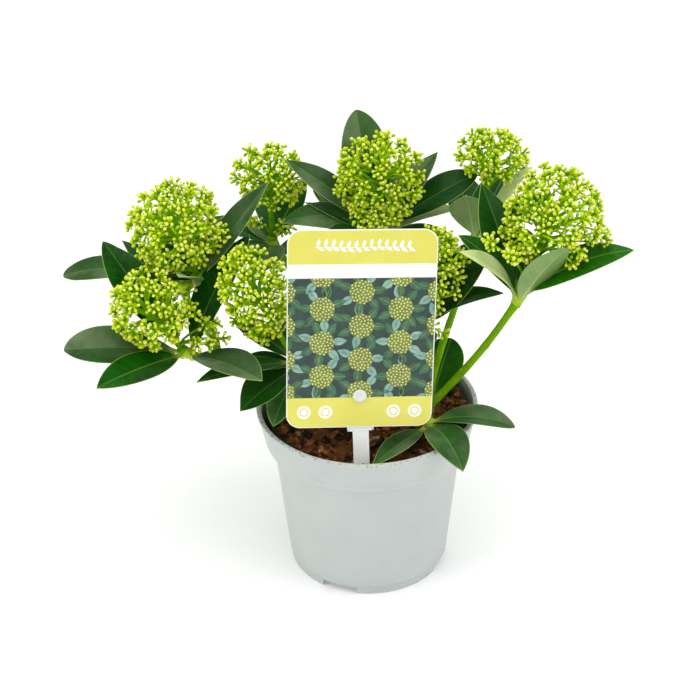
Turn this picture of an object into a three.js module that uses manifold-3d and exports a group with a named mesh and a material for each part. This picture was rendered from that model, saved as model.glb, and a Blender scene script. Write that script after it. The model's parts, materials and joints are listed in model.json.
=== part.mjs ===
// A potted Japanese skimmia: a low evergreen shrub with domed flower heads in bud, in a pale plastic
// nursery pot with a plain plant label. Millimetres, +Z up. The plant is worked out round the middle of the
// circle that the pot stands on, then moved so that the origin is the middle of the whole plant's box, at
// ground level. The label faces -Y. Angles are in degrees. A heading is read from above: 0 points to +X,
// 90 to +Y, away from the label. A rise is the angle above level.
import * as THREE from 'three';
import { mergeVertices } from 'three/addons/utils/BufferGeometryUtils.js';
import Module from 'manifold-3d';

const wasm = await Module();
wasm.setup();

// Clear gap between pieces that meet.
const GAP = 0.3;

// Pot: a tapered body on a notched foot ring, with a wider collar and a thick lip.
const POT = {
  height: 106,
  rimRadius: 65,
  lip: 2.8,
  lipDepth: 3.4,
  wall: 1.5,
  footRadius: 47.4,
  footHeight: 6.6,
  bodyFootRadius: 48.3,
  bodyTopRadius: 55.2,
  collarFootRadius: 60.6,
  collarFoot: 84.8,
  slope: 7.6,
  shoulder: 0.8,
  floorTop: 8,
  sides: 36,
  notches: 4,
  notchWidth: 23,
  notchHeading: 249,
  drainRadius: 4,
  drainOut: 37,
};

// The heights between which the pot's inside widens from its body to its collar.
const SHOULDER = { low: POT.collarFoot - POT.slope + 0.6, high: POT.collarFoot + POT.shoulder };

// Potting mix: a low mound of bark, a little under the rim.
const SOIL = { edge: 94, middle: 96, lumps: 1.1, sides: 24, rings: [0, 18, 34, 47, 57] };

// Plant label: a card that a knob holds to the flat head of a stake, pushed into the mix inside the rim.
// foot is where the stake enters the mix, and the card starts at cardAt along the stake.
const LABEL = {
  foot: [-3.2, -48, 95],
  lean: 11,
  turn: 6,
  width: 81.5,
  height: 114.5,
  thick: 0.9,
  corner: 8,
  cardAt: 23.5,
  cardTilt: 3,
  stakeWidth: 9,
  stakeThick: 2,
  stakeDeep: 22,
  headWidth: 15,
  headFoot: 20.5,
  knobRadius: 3.9,
  knobThick: 1.5,
  knobUp: 19,
  pinRadius: 1.4,
};

// Leaves: a short stalk, a blade that is widest past its middle, and a shallow fold at the midrib.
const LEAF = { width: 23, curl: 24, thick: 1.3, stalk: 0.14, stalkWidth: 3, fold: 13, steps: 4, spacing: 1.4 };

// Shoot stems, inside the leaf masses: they start in line with their bough and turn to the flower head.
const SHOOT = { below: 15, above: 4.6, foot: 2.4, tip: 2.8, sides: 6 };

// Flower heads: an axis with side branches to forks inside a dome, and clusters of buds on the dome.
// A cluster has about clusterShare square millimetres of the dome's width times its height.
const HEAD = {
  clusterShare: 116,
  clustersOnFork: 4.3,
  forkAt: 0.6,
  lowest: 126,
  axis: 2,
  axisTip: 1.6,
  branch: 1.5,
  stalk: 0.7,
  stalkSpacing: 0.13,
  cluster: 4,
  clusterDepth: 3,
};

const GOLDEN = 137.508;
const UP = new THREE.Vector3(0, 0, 1);
const deg = THREE.MathUtils.degToRad;

// Trunks: the stem that carries most boughs, and the short woody foot of the two right-hand stems.
const TRUNKS = {
  trunk: { foot: [2, 14, 94.4], shoot: 'centre', base: 6.2, end: 2.5, flare: 2.2 },
  right_trunk: { foot: [34, -9, 94.4], tip: [35, -8, 106], base: 5.2, end: 4.4, flare: 1.4 },
};

// Boughs: each leaves its parent at a share of the parent's length and ends under a shoot, or at a fork.
const BOUGHS = {
  left_bough: { from: 'trunk', at: 0.22, shoot: 'lower_left', base: 3.6, end: 2.4, rise: 14 },
  front_left_bough: { from: 'trunk', at: 0.3, shoot: 'front_left', base: 2.7, end: 2.3, rise: 20 },
  back_left_bough: { from: 'trunk', at: 0.5, shoot: 'back_left', base: 2.7, end: 2.3, rise: 35 },
  front_right_bough: { from: 'trunk', at: 0.34, shoot: 'front_right', base: 2.7, end: 2.3, rise: 35 },
  rear_bough: { from: 'trunk', at: 0.4, shoot: 'rear', base: 2.6, end: 2.2, rise: 20 },
  right_bough: { from: 'right_trunk', at: 1, shoot: 'right', base: 2.8, end: 2.4, rise: 60 },
  back_right_bough: { from: 'right_trunk', at: 1, shoot: 'back_right', base: 2.3, end: 2, rise: 72 },
  upper_left_bough: { from: 'left_bough', at: 0.93, shoot: 'upper_left', base: 2.4, end: 2.1, rise: 60 },
  rear_left_bough: { from: 'upper_left_bough', at: 0.3, shoot: 'rear_left', base: 2.1, end: 1.9, rise: 20 },
};

// Shoots. at is the ring of leaves, and each leaf is [heading, rise, length, width, curl, roll]:
// the last three are left out where they are the usual ones, and a roll tips the blade's face sideways.
// A head is the middle, width and height of its dome. A shoot with a foot starts there, inside the trunk
// that it is cut clear of, and stands out of the trunk's side.
const SHOOTS = {
  centre: {
    at: [8, 53, 190],
    leaves: [
      [165, 36, 69, 21, 20, -12],
      [184, 9, 56, 20, 26],
      [172, 24, 50, 20],
      [112, 64, 76, 31, -4],
      [36, 42, 59, 20, 20, 10],
      [17, 26, 68, 25, 18, 8],
      [16, 12, 58, 17, 30],
      [352, 8, 42, 18],
      [70, 24, 60],
      [135, 14, 56],
      [262, 16, 44, 19],
      [222, 24, 44, 18],
    ],
    head: { top: [8, 48, 229], width: 54, height: 57 },
  },
  upper_left: {
    at: [-95, 17, 178],
    leaves: [
      [33, 46, 70, 21, 12],
      [62, 30, 54, 19],
      [88, 8, 50, 20],
      [150, 30, 40, 19],
      [205, 18, 46, 19],
      [250, 35, 32, 15],
    ],
    head: { top: [-107, 20, 212], width: 59, height: 61 },
  },
  lower_left: {
    at: [-101, -9, 148],
    leaves: [
      [197, 10, 70, 27, 16, -24],
      [219, 1, 61, 24, 16, -8],
      [318, 6, 58, 26, 26],
      [48, 48, 77, 21, 34],
      [137, 36, 82, 26, -3],
    ],
    head: { top: [-122, -15, 178], width: 46, height: 54 },
  },
  back_left: {
    at: [-56, 75, 172],
    leaves: [
      [50, 42, 44, 20],
      [139, 25, 26, 10],
      [215, 14, 24, 15],
      [345, 4, 46, 20],
      [92, 22, 60],
      [62, 10, 58],
      [150, 6, 52, 20],
    ],
    head: { top: [-56, 76, 214], width: 50, height: 49 },
  },
  front_left: {
    at: [-40, -12, 141],
    leaves: [
      [203, 5, 60, 19],
      [190, 4, 36, 20],
      [216, -16, 45, 26, 20],
      [238, -38, 36, 18],
      [150, 22, 46, 20],
      [100, 22, 46, 20],
      [335, 10, 30, 16],
      [30, 14, 44, 19],
    ],
    head: { top: [-62, -10, 183], width: 50, height: 72 },
  },
  back_right: {
    at: [65, 59, 182],
    leaves: [
      [248, 62, 42, 26, 8, 8],
      [344, 58, 61, 25, 2, 10],
      [22, 22, 58],
      [62, 30, 60],
      [100, 18, 60],
    ],
    head: { top: [75, 70, 230], width: 50, height: 39 },
  },
  right: {
    at: [88, -5, 178],
    leaves: [
      [115, 47, 70, 25, 13],
      [165, 46, 52, 18, 41, -16],
      [201, 47, 56, 22, 50, -18],
      [331, 57, 51, 23, 17, -38],
      [1, 25, 68, 26, 11, 12],
      [80, 30, 48, 21],
      [60, 2, 56],
    ],
    head: { top: [103, 6, 220], width: 62, height: 70 },
  },
  front_right: {
    at: [31, 1, 155],
    leaves: [
      [358, 28, 51, 19, 42],
      [30, 50, 66, 26, 14],
      [196, 14, 44, 20],
      [128, 28, 48, 20],
      [300, 8, 34, 17],
      [245, 20, 34, 17],
    ],
    head: { top: [37, 4, 190], width: 44, height: 64 },
  },
  rear: {
    at: [4, 116, 156],
    leaves: [
      [20, 8, 60],
      [62, 14, 64],
      [98, 8, 66],
      [132, 18, 60],
      [168, 6, 58],
      [300, 26, 40, 18],
      [240, 26, 40, 18],
      [80, 42, 50, 20],
    ],
    head: { top: [3, 117, 188], width: 40, height: 40 },
  },
  rear_left: {
    at: [-110, 58, 150],
    leaves: [
      [187, 16, 73, 20, 34, -10],
      [152, 30, 50, 21],
      [70, 10, 58],
      [110, 18, 60],
      [140, 4, 58],
      [30, 10, 48, 20],
    ],
    head: { top: [-112, 62, 187], width: 40, height: 42 },
  },
  basal_right: {
    at: [35, -20, 103.5],
    from: 'right_trunk',
    foot: [34.6, -9, 99.8],
    leaves: [
      [350, 4, 51, 20, 40],
      [293, 0, 45, 22, 70],
      [224, -5, 44, 18, 26],
    ],
  },
  basal_rear: {
    at: [38, 4, 102],
    from: 'right_trunk',
    foot: [34.6, -8, 99.8],
    leaves: [
      [60, 52, 40, 23, 12],
      [96, 22, 44, 20],
      [140, 28, 42, 19],
    ],
  },
};

// Colours by part.
const COLOUR = {
  pot: 0xc5cecb,
  soil: 0x4a2c17,
  card: 0xe4df74,
  stake: 0xeceeec,
  wood: 0x7d7a45,
  stem: 0x6f9a2c,
  leaves: 0x2c5a1c,
  flowers: 0xa6c832,
};

const vector = (list) => new THREE.Vector3(...list);

// A seeded number from -1 to 1 for a place in a pattern.
function jitter(a, b) {
  const wave = Math.sin(a * 12.9898 + b * 78.233) * 43758.5453;
  return 2 * (wave - Math.floor(wave)) - 1;
}

// The level direction of a heading, tipped up by a rise.
function pointing(heading, rise) {
  const level = Math.cos(deg(rise));
  return new THREE.Vector3(Math.cos(deg(heading)) * level, Math.sin(deg(heading)) * level, Math.sin(deg(rise)));
}

// A closed geometry as a solid, and a solid as a geometry.
function solid(geometry) {
  const bare = geometry.clone();
  for (const name of Object.keys(bare.attributes)) if (name !== 'position') bare.deleteAttribute(name);
  const merged = mergeVertices(bare, 1e-4);
  const mesh = new wasm.Mesh({
    numProp: 3,
    vertProperties: new Float32Array(merged.attributes.position.array),
    triVerts: new Uint32Array(merged.index.array),
  });
  return new wasm.Manifold(mesh);
}

function geometryOf(manifold) {
  const mesh = manifold.getMesh();
  const geometry = new THREE.BufferGeometry();
  geometry.setAttribute('position', new THREE.BufferAttribute(new Float32Array(mesh.vertProperties), 3));
  geometry.setIndex(Array.from(mesh.triVerts));
  geometry.computeVertexNormals();
  return geometry;
}

function indexed(points, faces) {
  const geometry = new THREE.BufferGeometry();
  geometry.setAttribute('position', new THREE.Float32BufferAttribute(points.flatMap((p) => [p.x, p.y, p.z]), 3));
  geometry.setIndex(faces.flat());
  return geometry;
}

// Rings of points joined into a closed skin. A ring of one point is an end's tip.
function loft(rings) {
  const points = rings.flat();
  const faces = [];
  const first = rings.map((_, i) => rings.slice(0, i).reduce((sum, ring) => sum + ring.length, 0));
  for (let i = 0; i + 1 < rings.length; i++) {
    const [a, b] = [rings[i], rings[i + 1]];
    const count = Math.max(a.length, b.length);
    for (let j = 0; j < count; j++) {
      const k = (j + 1) % count;
      const [a0, a1] = [first[i] + (j % a.length), first[i] + (k % a.length)];
      const [b0, b1] = [first[i + 1] + (j % b.length), first[i + 1] + (k % b.length)];
      if (a.length > 1) faces.push([a0, a1, b0]);
      if (b.length > 1) faces.push([a1, b1, b0]);
    }
  }
  for (const [ring, start, turned] of [[rings[0], first[0], true], [rings.at(-1), first.at(-1), false]]) {
    for (let j = 1; j + 1 < ring.length; j++) {
      faces.push(turned ? [start, start + j + 1, start + j] : [start, start + j, start + j + 1]);
    }
  }
  return indexed(points, faces);
}

// A limb along a curve, with a radius that is a function of the share of its length.
function limb(curve, radiusAt, sides, steps) {
  const rings = [];
  let side = Math.abs(curve.getTangent(0).z) > 0.9 ? new THREE.Vector3(1, 0, 0) : UP.clone();
  for (let i = 0; i <= steps; i++) {
    const share = i / steps;
    const along = curve.getTangent(share);
    side = side.sub(along.clone().multiplyScalar(side.dot(along))).normalize();
    const across = along.clone().cross(side);
    const ring = [];
    for (let j = 0; j < sides; j++) {
      const turn = (2 * Math.PI * j) / sides;
      const out = side.clone().multiplyScalar(Math.cos(turn)).addScaledVector(across, Math.sin(turn));
      ring.push(curve.getPoint(share).addScaledVector(out, radiusAt(share)));
    }
    rings.push(ring);
  }
  return solid(loft(rings));
}

const straight = (a, b) => new THREE.LineCurve3(a, b);

// A box that lies along its own axes, at a middle point, turned about Z.
function block(width, depth, height, middle, turn = 0) {
  const box = new THREE.BoxGeometry(width, depth, height);
  box.rotateZ(deg(turn));
  box.translate(middle.x, middle.y, middle.z);
  return solid(box);
}

// The pot, turned on a lathe, then notched at the foot and drained through the floor.
function makePot() {
  const lipFoot = POT.height - POT.lipDepth;
  const outside = [
    [POT.footRadius, 0],
    [POT.footRadius + 0.3, POT.footHeight],
    [POT.bodyFootRadius, POT.footHeight + 0.6],
    [POT.bodyTopRadius, POT.collarFoot - POT.slope],
    [POT.collarFootRadius, POT.collarFoot],
    [POT.rimRadius - 1, lipFoot],
    [POT.rimRadius, lipFoot + 0.9],
    [POT.rimRadius, POT.height],
  ];
  const inside = [
    [POT.rimRadius - POT.lip, POT.height],
    [POT.rimRadius - 1 - POT.wall - 0.6, lipFoot - 1],
    [POT.collarFootRadius - POT.wall, SHOULDER.high],
    [POT.bodyTopRadius - POT.wall, SHOULDER.low],
    [POT.bodyFootRadius - POT.wall, POT.floorTop],
    [0, POT.floorTop],
    [0, POT.floorTop - POT.wall],
    [POT.footRadius - POT.wall, POT.floorTop - POT.wall],
    [POT.footRadius - POT.wall, 0],
  ];
  const profile = [...outside, ...inside, outside[0]].map(([r, z]) => new THREE.Vector2(r, z));
  const lathe = new THREE.LatheGeometry(profile, POT.sides);
  lathe.rotateX(Math.PI / 2);
  let pot = solid(lathe);
  if (pot.volume() < 0) throw new Error('the pot is inside out');
  for (let i = 0; i < POT.notches; i++) {
    const heading = POT.notchHeading + (360 / POT.notches) * i;
    const out = pointing(heading, 0);
    const depth = POT.footRadius;
    const cut = out.clone().multiplyScalar(POT.footRadius - 5 + depth / 2).setZ(POT.footHeight / 2 - 2);
    pot = pot.subtract(block(depth, POT.notchWidth, POT.footHeight + 4, cut, heading));
    const drain = new THREE.CylinderGeometry(POT.drainRadius, POT.drainRadius, 3 * POT.wall, 8);
    drain.rotateX(Math.PI / 2);
    const at = out.clone().multiplyScalar(POT.drainOut);
    drain.translate(at.x, at.y, POT.floorTop);
    pot = pot.subtract(solid(drain));
  }
  return pot;
}

// The inside radius of the pot's wall at a height.
function potInside(z) {
  const { low, high } = SHOULDER;
  const body = (share) => THREE.MathUtils.lerp(POT.bodyFootRadius, POT.bodyTopRadius, share) - POT.wall;
  if (z <= low) return body((z - POT.floorTop) / (low - POT.floorTop));
  if (z <= high) {
    const share = (z - low) / (high - low);
    return THREE.MathUtils.lerp(body(1), POT.collarFootRadius - POT.wall, share);
  }
  const share = (z - high) / (POT.height - POT.lipDepth - 1 - high);
  return THREE.MathUtils.lerp(POT.collarFootRadius - POT.wall, POT.rimRadius - 1.6 - POT.wall, share);
}

// The radius that keeps the mix clear of the pot's flat sides, and of its shoulder just below.
const inPot = (z) => (potInside(z - 2 * GAP) - GAP) * Math.cos(Math.PI / POT.sides);

// How high the potting mix stands at a place: a low mound with lumps, level round each stem's foot.
function soilHeight(x, y) {
  const out = Math.hypot(x, y) / SOIL.rings.at(-1);
  return THREE.MathUtils.lerp(SOIL.middle, SOIL.edge, out * out) + SOIL.lumps * jitter(Math.round(x), Math.round(y));
}

function makeSoil() {
  const heights = [POT.floorTop + GAP, SHOULDER.low + 2 * GAP, SHOULDER.high + 2 * GAP, SOIL.edge];
  const ring = (radius, height) => {
    const points = [];
    for (let j = 0; j < SOIL.sides; j++) {
      const turn = (2 * Math.PI * j) / SOIL.sides;
      const [x, y] = [radius * Math.cos(turn), radius * Math.sin(turn)];
      points.push(new THREE.Vector3(x, y, height ?? soilHeight(x, y)));
    }
    return points;
  };
  const walls = heights.map((z) => ring(inPot(z), z));
  const top = SOIL.rings.slice(1).reverse().map((radius) => ring(radius));
  return solid(loft([...walls, ...top, [new THREE.Vector3(0, 0, SOIL.middle)]]));
}

// The label's own frame: x across, y towards the back of the card, z up the stake.
function onLabel(geometry) {
  geometry.rotateX(-deg(LABEL.lean));
  geometry.rotateZ(deg(LABEL.turn));
  geometry.translate(...LABEL.foot);
  return solid(geometry);
}

function labelBlock(width, thick, low, high, front) {
  const box = new THREE.BoxGeometry(width, thick, high - low);
  box.translate(0, front + thick / 2, (low + high) / 2);
  return onLabel(box);
}

function labelPin(radius, front, back, sides) {
  const pin = new THREE.CylinderGeometry(radius, radius, back - front, sides);
  pin.translate(0, (front + back) / 2, LABEL.cardAt + LABEL.knobUp);
  return onLabel(pin);
}

function makeCard() {
  const [half, round] = [LABEL.width / 2, LABEL.corner];
  const [low, high] = [-LABEL.knobUp, LABEL.height - LABEL.knobUp];
  const outline = new THREE.Shape();
  outline.moveTo(-half + round, low);
  outline.absarc(half - round, low + round, round, -Math.PI / 2, 0, false);
  outline.absarc(half - round, high - round, round, 0, Math.PI / 2, false);
  outline.absarc(-half + round, high - round, round, Math.PI / 2, Math.PI, false);
  outline.absarc(-half + round, low + round, round, Math.PI, 1.5 * Math.PI, false);
  const plate = new THREE.ExtrudeGeometry(outline, { depth: LABEL.thick, bevelEnabled: false, curveSegments: 4 });
  plate.rotateX(Math.PI / 2);
  plate.rotateY(deg(LABEL.cardTilt));
  plate.translate(0, 0, LABEL.cardAt + LABEL.knobUp);
  return onLabel(plate).subtract(labelPin(LABEL.pinRadius + GAP, -3, 3, 12));
}

// The stake ends in a wide head behind the card, and the knob's pin runs through the card into the head.
function makeStake() {
  const headTop = LABEL.cardAt + LABEL.knobUp + LABEL.knobRadius + 2;
  const knob = -LABEL.thick - GAP;
  const shaft = labelBlock(LABEL.stakeWidth, LABEL.stakeThick, -LABEL.stakeDeep, LABEL.headFoot + 1, GAP);
  const head = labelBlock(LABEL.headWidth, LABEL.stakeThick, LABEL.headFoot, headTop, GAP);
  const pin = labelPin(LABEL.pinRadius, knob - 0.4, GAP + 0.5, 8);
  return shaft.add(head).add(pin).add(labelPin(LABEL.knobRadius, knob - LABEL.knobThick, knob, 12));
}

// The slot that the stake has pushed open in the mix.
function makeStakeSlot() {
  const wide = LABEL.stakeWidth + 2 * GAP;
  return labelBlock(wide, LABEL.stakeThick + 2 * GAP, -LABEL.stakeDeep - GAP, 20, 0);
}

// The midline of a leaf is an arc that starts steeper and ends flatter than its rise.
function leafRings(base, [heading, rise, length, width = LEAF.width, curl = LEAF.curl, roll = 0], extra = 0) {
  const rings = [];
  const side = new THREE.Vector3(-Math.sin(deg(heading)), Math.cos(deg(heading)), 0);
  const spot = base.clone();
  const stations = [0, LEAF.stalk];
  for (let i = 1; i <= LEAF.steps; i++) stations.push(LEAF.stalk + ((1 - LEAF.stalk) * i) / LEAF.steps);
  stations.forEach((share, i) => {
    if (i > 0) {
      const before = stations[i - 1];
      const angle = rise + curl * (0.5 - (share + before) / 2);
      spot.addScaledVector(pointing(heading, angle), length * (share - before));
    }
    const along = pointing(heading, rise + curl * (0.5 - share));
    const turned = side.clone().applyAxisAngle(along, deg(roll));
    const up = along.clone().cross(turned);
    const half = i < 2 ? LEAF.stalkWidth / 2 : (width / 2) * bladeShape((share - LEAF.stalk) / (1 - LEAF.stalk));
    const thick = (LEAF.thick / 2) * (i < 2 ? 1.3 : 1) + extra;
    if (i === stations.length - 1) {
      rings.push([spot.clone()]);
      return;
    }
    const lift = i < 2 ? 0 : half * Math.sin(deg(LEAF.fold));
    rings.push([
      spot.clone().addScaledVector(turned, half + extra).addScaledVector(up, lift),
      spot.clone().addScaledVector(up, thick),
      spot.clone().addScaledVector(turned, -half - extra).addScaledVector(up, lift),
      spot.clone().addScaledVector(up, -thick),
    ]);
  });
  return rings;
}

// Half width of the blade, from 0 to 1, by the share of its length.
function bladeShape(share) {
  const widest = 1.05 / (1.05 + 0.8);
  const rule = (s) => Math.pow(s, 1.05) * Math.pow(1 - s, 0.8);
  return rule(Math.min(Math.max(share, 0), 1)) / rule(widest);
}

function makeLeaf(base, leaf, extra = 0) {
  const made = solid(loft(leafRings(base, leaf, extra).map((ring) => [...ring].reverse())));
  return made.volume() > 0 ? made : solid(loft(leafRings(base, leaf, extra)));
}

// The way that a shoot's flower head points, or straight up.
function headAxis(shoot) {
  return shoot.head ? vector(shoot.head.top).sub(vector(shoot.at)).normalize() : UP.clone();
}

// True where two solids share space.
function clash(a, b) {
  const [p, q] = [a.boundingBox(), b.boundingBox()];
  for (let i = 0; i < 3; i++) if (p.max[i] < q.min[i] || q.max[i] < p.min[i]) return false;
  return !a.intersect(b).isEmpty();
}

// The first solid that an envelope meets.
const meets = (envelope, others) => others.find((other) => clash(envelope, other.solid));

// A mass of leaves: a stout shoot with the leaves' stalks sunk in it, the lower leaves further down.
// A leaf that would touch another piece is skipped.
function leafMass(name, shoot, foot, leaving, placed) {
  const axis = headAxis(shoot);
  const ring = vector(shoot.at);
  const tip = ring.clone().addScaledVector(axis, SHOOT.above);
  const radius = (share) => THREE.MathUtils.lerp(SHOOT.foot, SHOOT.tip, share);
  let mass = limb(growthCurve(foot, leaving, tip, axis), radius, SHOOT.sides, 3);
  shoot.leaves.forEach((leaf, i) => {
    const base = ring.clone().addScaledVector(axis, -LEAF.spacing * (i % LEAF.steps));
    const other = meets(makeLeaf(base, leaf, GAP), placed);
    if (other) console.warn(`${name}: leaf ${i} meets ${other.name} and is skipped`);
    else mass = mass.add(makeLeaf(base, leaf));
  });
  return mass;
}

// Places spread evenly over a dome in a golden spiral, as [angle off the axis, turn round it].
function spiral(count) {
  const low = 1 - Math.cos(deg(HEAD.lowest));
  return Array.from({ length: count }, (_, i) => {
    const off = THREE.MathUtils.radToDeg(Math.acos(1 - ((i + 0.5) / count) * low));
    return [off, i * GOLDEN + 14 * jitter(i, count)];
  });
}

// A place on a share of a head's dome. The frame is the dome's side, across and axis directions.
function onDome(head, frame, [off, turn], share) {
  const out = (share * head.width * Math.sin(deg(off))) / 2;
  return vector(head.top)
    .addScaledVector(frame[0], out * Math.cos(deg(turn)))
    .addScaledVector(frame[1], out * Math.sin(deg(turn)))
    .addScaledVector(frame[2], (share * head.height * Math.cos(deg(off))) / 2);
}

// A cluster of buds on its stalk, as one body: a thin stalk that widens to the cluster and ends in a point.
function budCluster(from, to, extra = 0) {
  const way = to.clone().sub(from).normalize();
  const side = new THREE.Vector3(way.y, -way.x, 0.2).cross(way).normalize();
  const across = way.clone().cross(side);
  const ring = (middle, radius) => [0, 1, 2].map((j) => {
    const turn = (2 * Math.PI * j) / 3;
    const out = side.clone().multiplyScalar(Math.cos(turn)).addScaledVector(across, Math.sin(turn));
    return middle.clone().addScaledVector(out, radius + extra);
  });
  const neck = to.clone().addScaledVector(way, -HEAD.clusterDepth);
  const tip = to.clone().addScaledVector(way, HEAD.clusterDepth * 0.7 + extra);
  const rings = [ring(from, HEAD.stalk), ring(neck, HEAD.stalk), ring(to, HEAD.cluster), [tip]];
  return solid(loft(rings));
}

// A flower head. A branch or cluster that would touch another piece is skipped.
function flowerHead(name, shoot, placed) {
  const { head } = shoot;
  const axis = headAxis(shoot);
  const side = new THREE.Vector3(1, 0, 0).cross(axis).normalize();
  const frame = [side, axis.clone().cross(side), axis];
  const foot = vector(shoot.at).addScaledVector(axis, SHOOT.above + GAP);
  const tip = vector(head.top).addScaledVector(axis, head.height * 0.2);
  const axisSolid = (extra) => {
    const radius = (share) => THREE.MathUtils.lerp(HEAD.axis, HEAD.axisTip, share) + extra;
    return limb(straight(foot, tip), radius, SHOOT.sides, 1);
  };
  const blocked = meets(axisSolid(0), placed);
  if (blocked) throw new Error(`${name}: the axis meets ${blocked.name}`);
  let made = axisSolid(0);
  const forks = [];
  const clusters = Math.round((head.width * head.height) / HEAD.clusterShare);
  for (const place of spiral(Math.round(clusters / HEAD.clustersOnFork))) {
    const end = onDome(head, frame, place, HEAD.forkAt);
    const start = foot.clone().lerp(tip, THREE.MathUtils.lerp(0.92, 0.3, place[0] / HEAD.lowest));
    if (meets(limb(straight(start, end), () => HEAD.branch + GAP, 3, 1), placed)) continue;
    made = made.add(limb(straight(start, end), () => HEAD.branch, 3, 1));
    forks.push({ start, end, clusters: 0 });
  }
  const reach = 1 - (1.6 * HEAD.clusterDepth) / head.width;
  let skipped = 0;
  spiral(clusters).forEach((place, i) => {
    const at = onDome(head, frame, place, reach - 0.04 * (1 + jitter(i, 3)));
    const nearest = (best, fork) => (fork.end.distanceTo(at) < best.end.distanceTo(at) ? fork : best);
    const fork = forks.reduce(nearest);
    const from = fork.end.clone().lerp(fork.start, HEAD.stalkSpacing * (fork.clusters + 0.5));
    fork.clusters += 1;
    if (meets(budCluster(from, at, GAP), placed)) skipped += 1;
    else made = made.add(budCluster(from, at));
  });
  if (skipped) console.warn(`${name}: ${skipped} clusters meet other pieces and are skipped`);
  return made;
}

// The curve of a limb: it leaves along its start direction and arrives along its end direction.
function growthCurve(start, leaving, end, arriving) {
  const reach = start.distanceTo(end) * 0.36;
  return new THREE.CubicBezierCurve3(
    start,
    start.clone().addScaledVector(leaving, reach),
    end.clone().addScaledVector(arriving, -reach),
    end,
  );
}

const placed = [];
const plant = new THREE.Group();

function place(name, made, colour, roughness = 0.6) {
  const bodies = made.decompose().sort((a, b) => b.volume() - a.volume());
  if (bodies.length > 1) console.warn(`${name}: ${bodies.length - 1} loose scraps are dropped`);
  const material = new THREE.MeshStandardMaterial({ color: colour, roughness, metalness: 0 });
  const mesh = new THREE.Mesh(geometryOf(bodies[0]), material);
  mesh.name = name;
  plant.add(mesh);
  placed.push({ name, solid: bodies[0] });
}

// Trunks and boughs: their curves, and their radii by the share of their length.
const limbs = {};
const limbSolid = (name, extra = 0) => limb(limbs[name].curve, (share) => limbs[name].radius(share) + extra, 7, 6);

// The round knee at the end of a limb, where boughs fork.
function kneeSolid(name, extra = 0) {
  const knee = new THREE.IcosahedronGeometry(limbs[name].radius(1) + extra, 1);
  knee.translate(...limbs[name].curve.getPoint(1).toArray());
  return solid(knee);
}

// Where each shoot starts, and in which direction.
const feet = {};

// The curve of a limb to its fork, or to just below its shoot.
function limbCurve(start, leaving, spec) {
  const shoot = SHOOTS[spec.shoot];
  const end = vector(shoot ? shoot.at : spec.tip);
  const way = end.clone().sub(start).normalize();
  if (!shoot) return growthCurve(start, leaving, end, way.lerp(leaving, 0.3).normalize());
  const arriving = way.lerp(headAxis(shoot), 0.3).normalize();
  end.addScaledVector(arriving, -SHOOT.below);
  feet[spec.shoot] = { foot: end.clone().addScaledVector(arriving, GAP), leaving: arriving };
  return growthCurve(start, leaving, end, arriving);
}

for (const [name, trunk] of Object.entries(TRUNKS)) {
  const flare = (share) => trunk.flare * Math.pow(Math.max(0, 1 - share * 6), 2);
  const radius = (share) => THREE.MathUtils.lerp(trunk.base, trunk.end, share) + flare(share);
  limbs[name] = { curve: limbCurve(vector(trunk.foot), UP, trunk), radius };
}

place('pot', makePot(), COLOUR.pot, 0.45);
let mix = makeSoil().subtract(makeStakeSlot());
for (const [name, trunk] of Object.entries(TRUNKS)) {
  const wide = trunk.base + trunk.flare + GAP;
  const foot = vector(trunk.foot);
  const pit = straight(foot.clone().setZ(foot.z - GAP), foot.clone().setZ(foot.z + 8));
  mix = mix.subtract(limb(pit, () => wide, 8, 1)).subtract(limbSolid(name, GAP));
}
place('potting_mix', mix, COLOUR.soil, 0.95);
place('label_card', makeCard(), COLOUR.card, 0.4);
place('label_stake', makeStake(), COLOUR.stake, 0.4);
for (const [name, trunk] of Object.entries(TRUNKS)) {
  const made = trunk.tip ? limbSolid(name).add(kneeSolid(name)) : limbSolid(name);
  place(name, made, COLOUR.wood, 0.8);
}

for (const [name, bough] of Object.entries(BOUGHS)) {
  const start = limbs[bough.from].curve.getPoint(bough.at);
  const way = vector(bough.tip ?? SHOOTS[bough.shoot].at).sub(start);
  const heading = THREE.MathUtils.radToDeg(Math.atan2(way.y, way.x));
  const radius = (share) => THREE.MathUtils.lerp(bough.base, bough.end, share);
  limbs[name] = { curve: limbCurve(start, pointing(heading, bough.rise), bough), radius };
  let made = limbSolid(name);
  for (const other of placed.filter((piece) => piece.name in limbs)) {
    const wide = limbSolid(other.name, GAP).add(kneeSolid(other.name, 1.1 * GAP));
    if (clash(made, wide)) made = made.subtract(wide);
  }
  place(name, made, COLOUR.stem);
}

for (const [name, shoot] of Object.entries(SHOOTS)) {
  if (shoot.foot) {
    const foot = vector(shoot.foot);
    feet[name] = { foot, leaving: vector(shoot.at).sub(foot).normalize() };
  }
  const { foot, leaving } = feet[name];
  const mass = leafMass(`${name}_leaves`, shoot, foot, leaving, placed);
  const clear = shoot.from ? mass.subtract(limbSolid(shoot.from, GAP)) : mass;
  place(`${name}_leaves`, clear, COLOUR.leaves, 0.35);
}
for (const [name, shoot] of Object.entries(SHOOTS)) {
  if (shoot.head) place(`${name}_flowers`, flowerHead(`${name}_flowers`, shoot, placed), COLOUR.flowers, 0.5);
}

const middle = new THREE.Box3().setFromObject(plant, true).getCenter(new THREE.Vector3());
plant.position.set(-middle.x, -middle.y, 0);

export default plant;
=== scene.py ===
"""Looks of a potted Japanese skimmia: a low evergreen shrub in bud, in a pale nursery pot with a plain label.

Sizes are in millimetres, measured from the middle of the circle that the pot stands on, until a mesh is made.
A heading is read from above, 0 towards +X and 90 towards +Y, and a rise is the angle above level, in degrees.
"""

import json
import logging
import math
from dataclasses import dataclass, field
from enum import Enum

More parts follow.
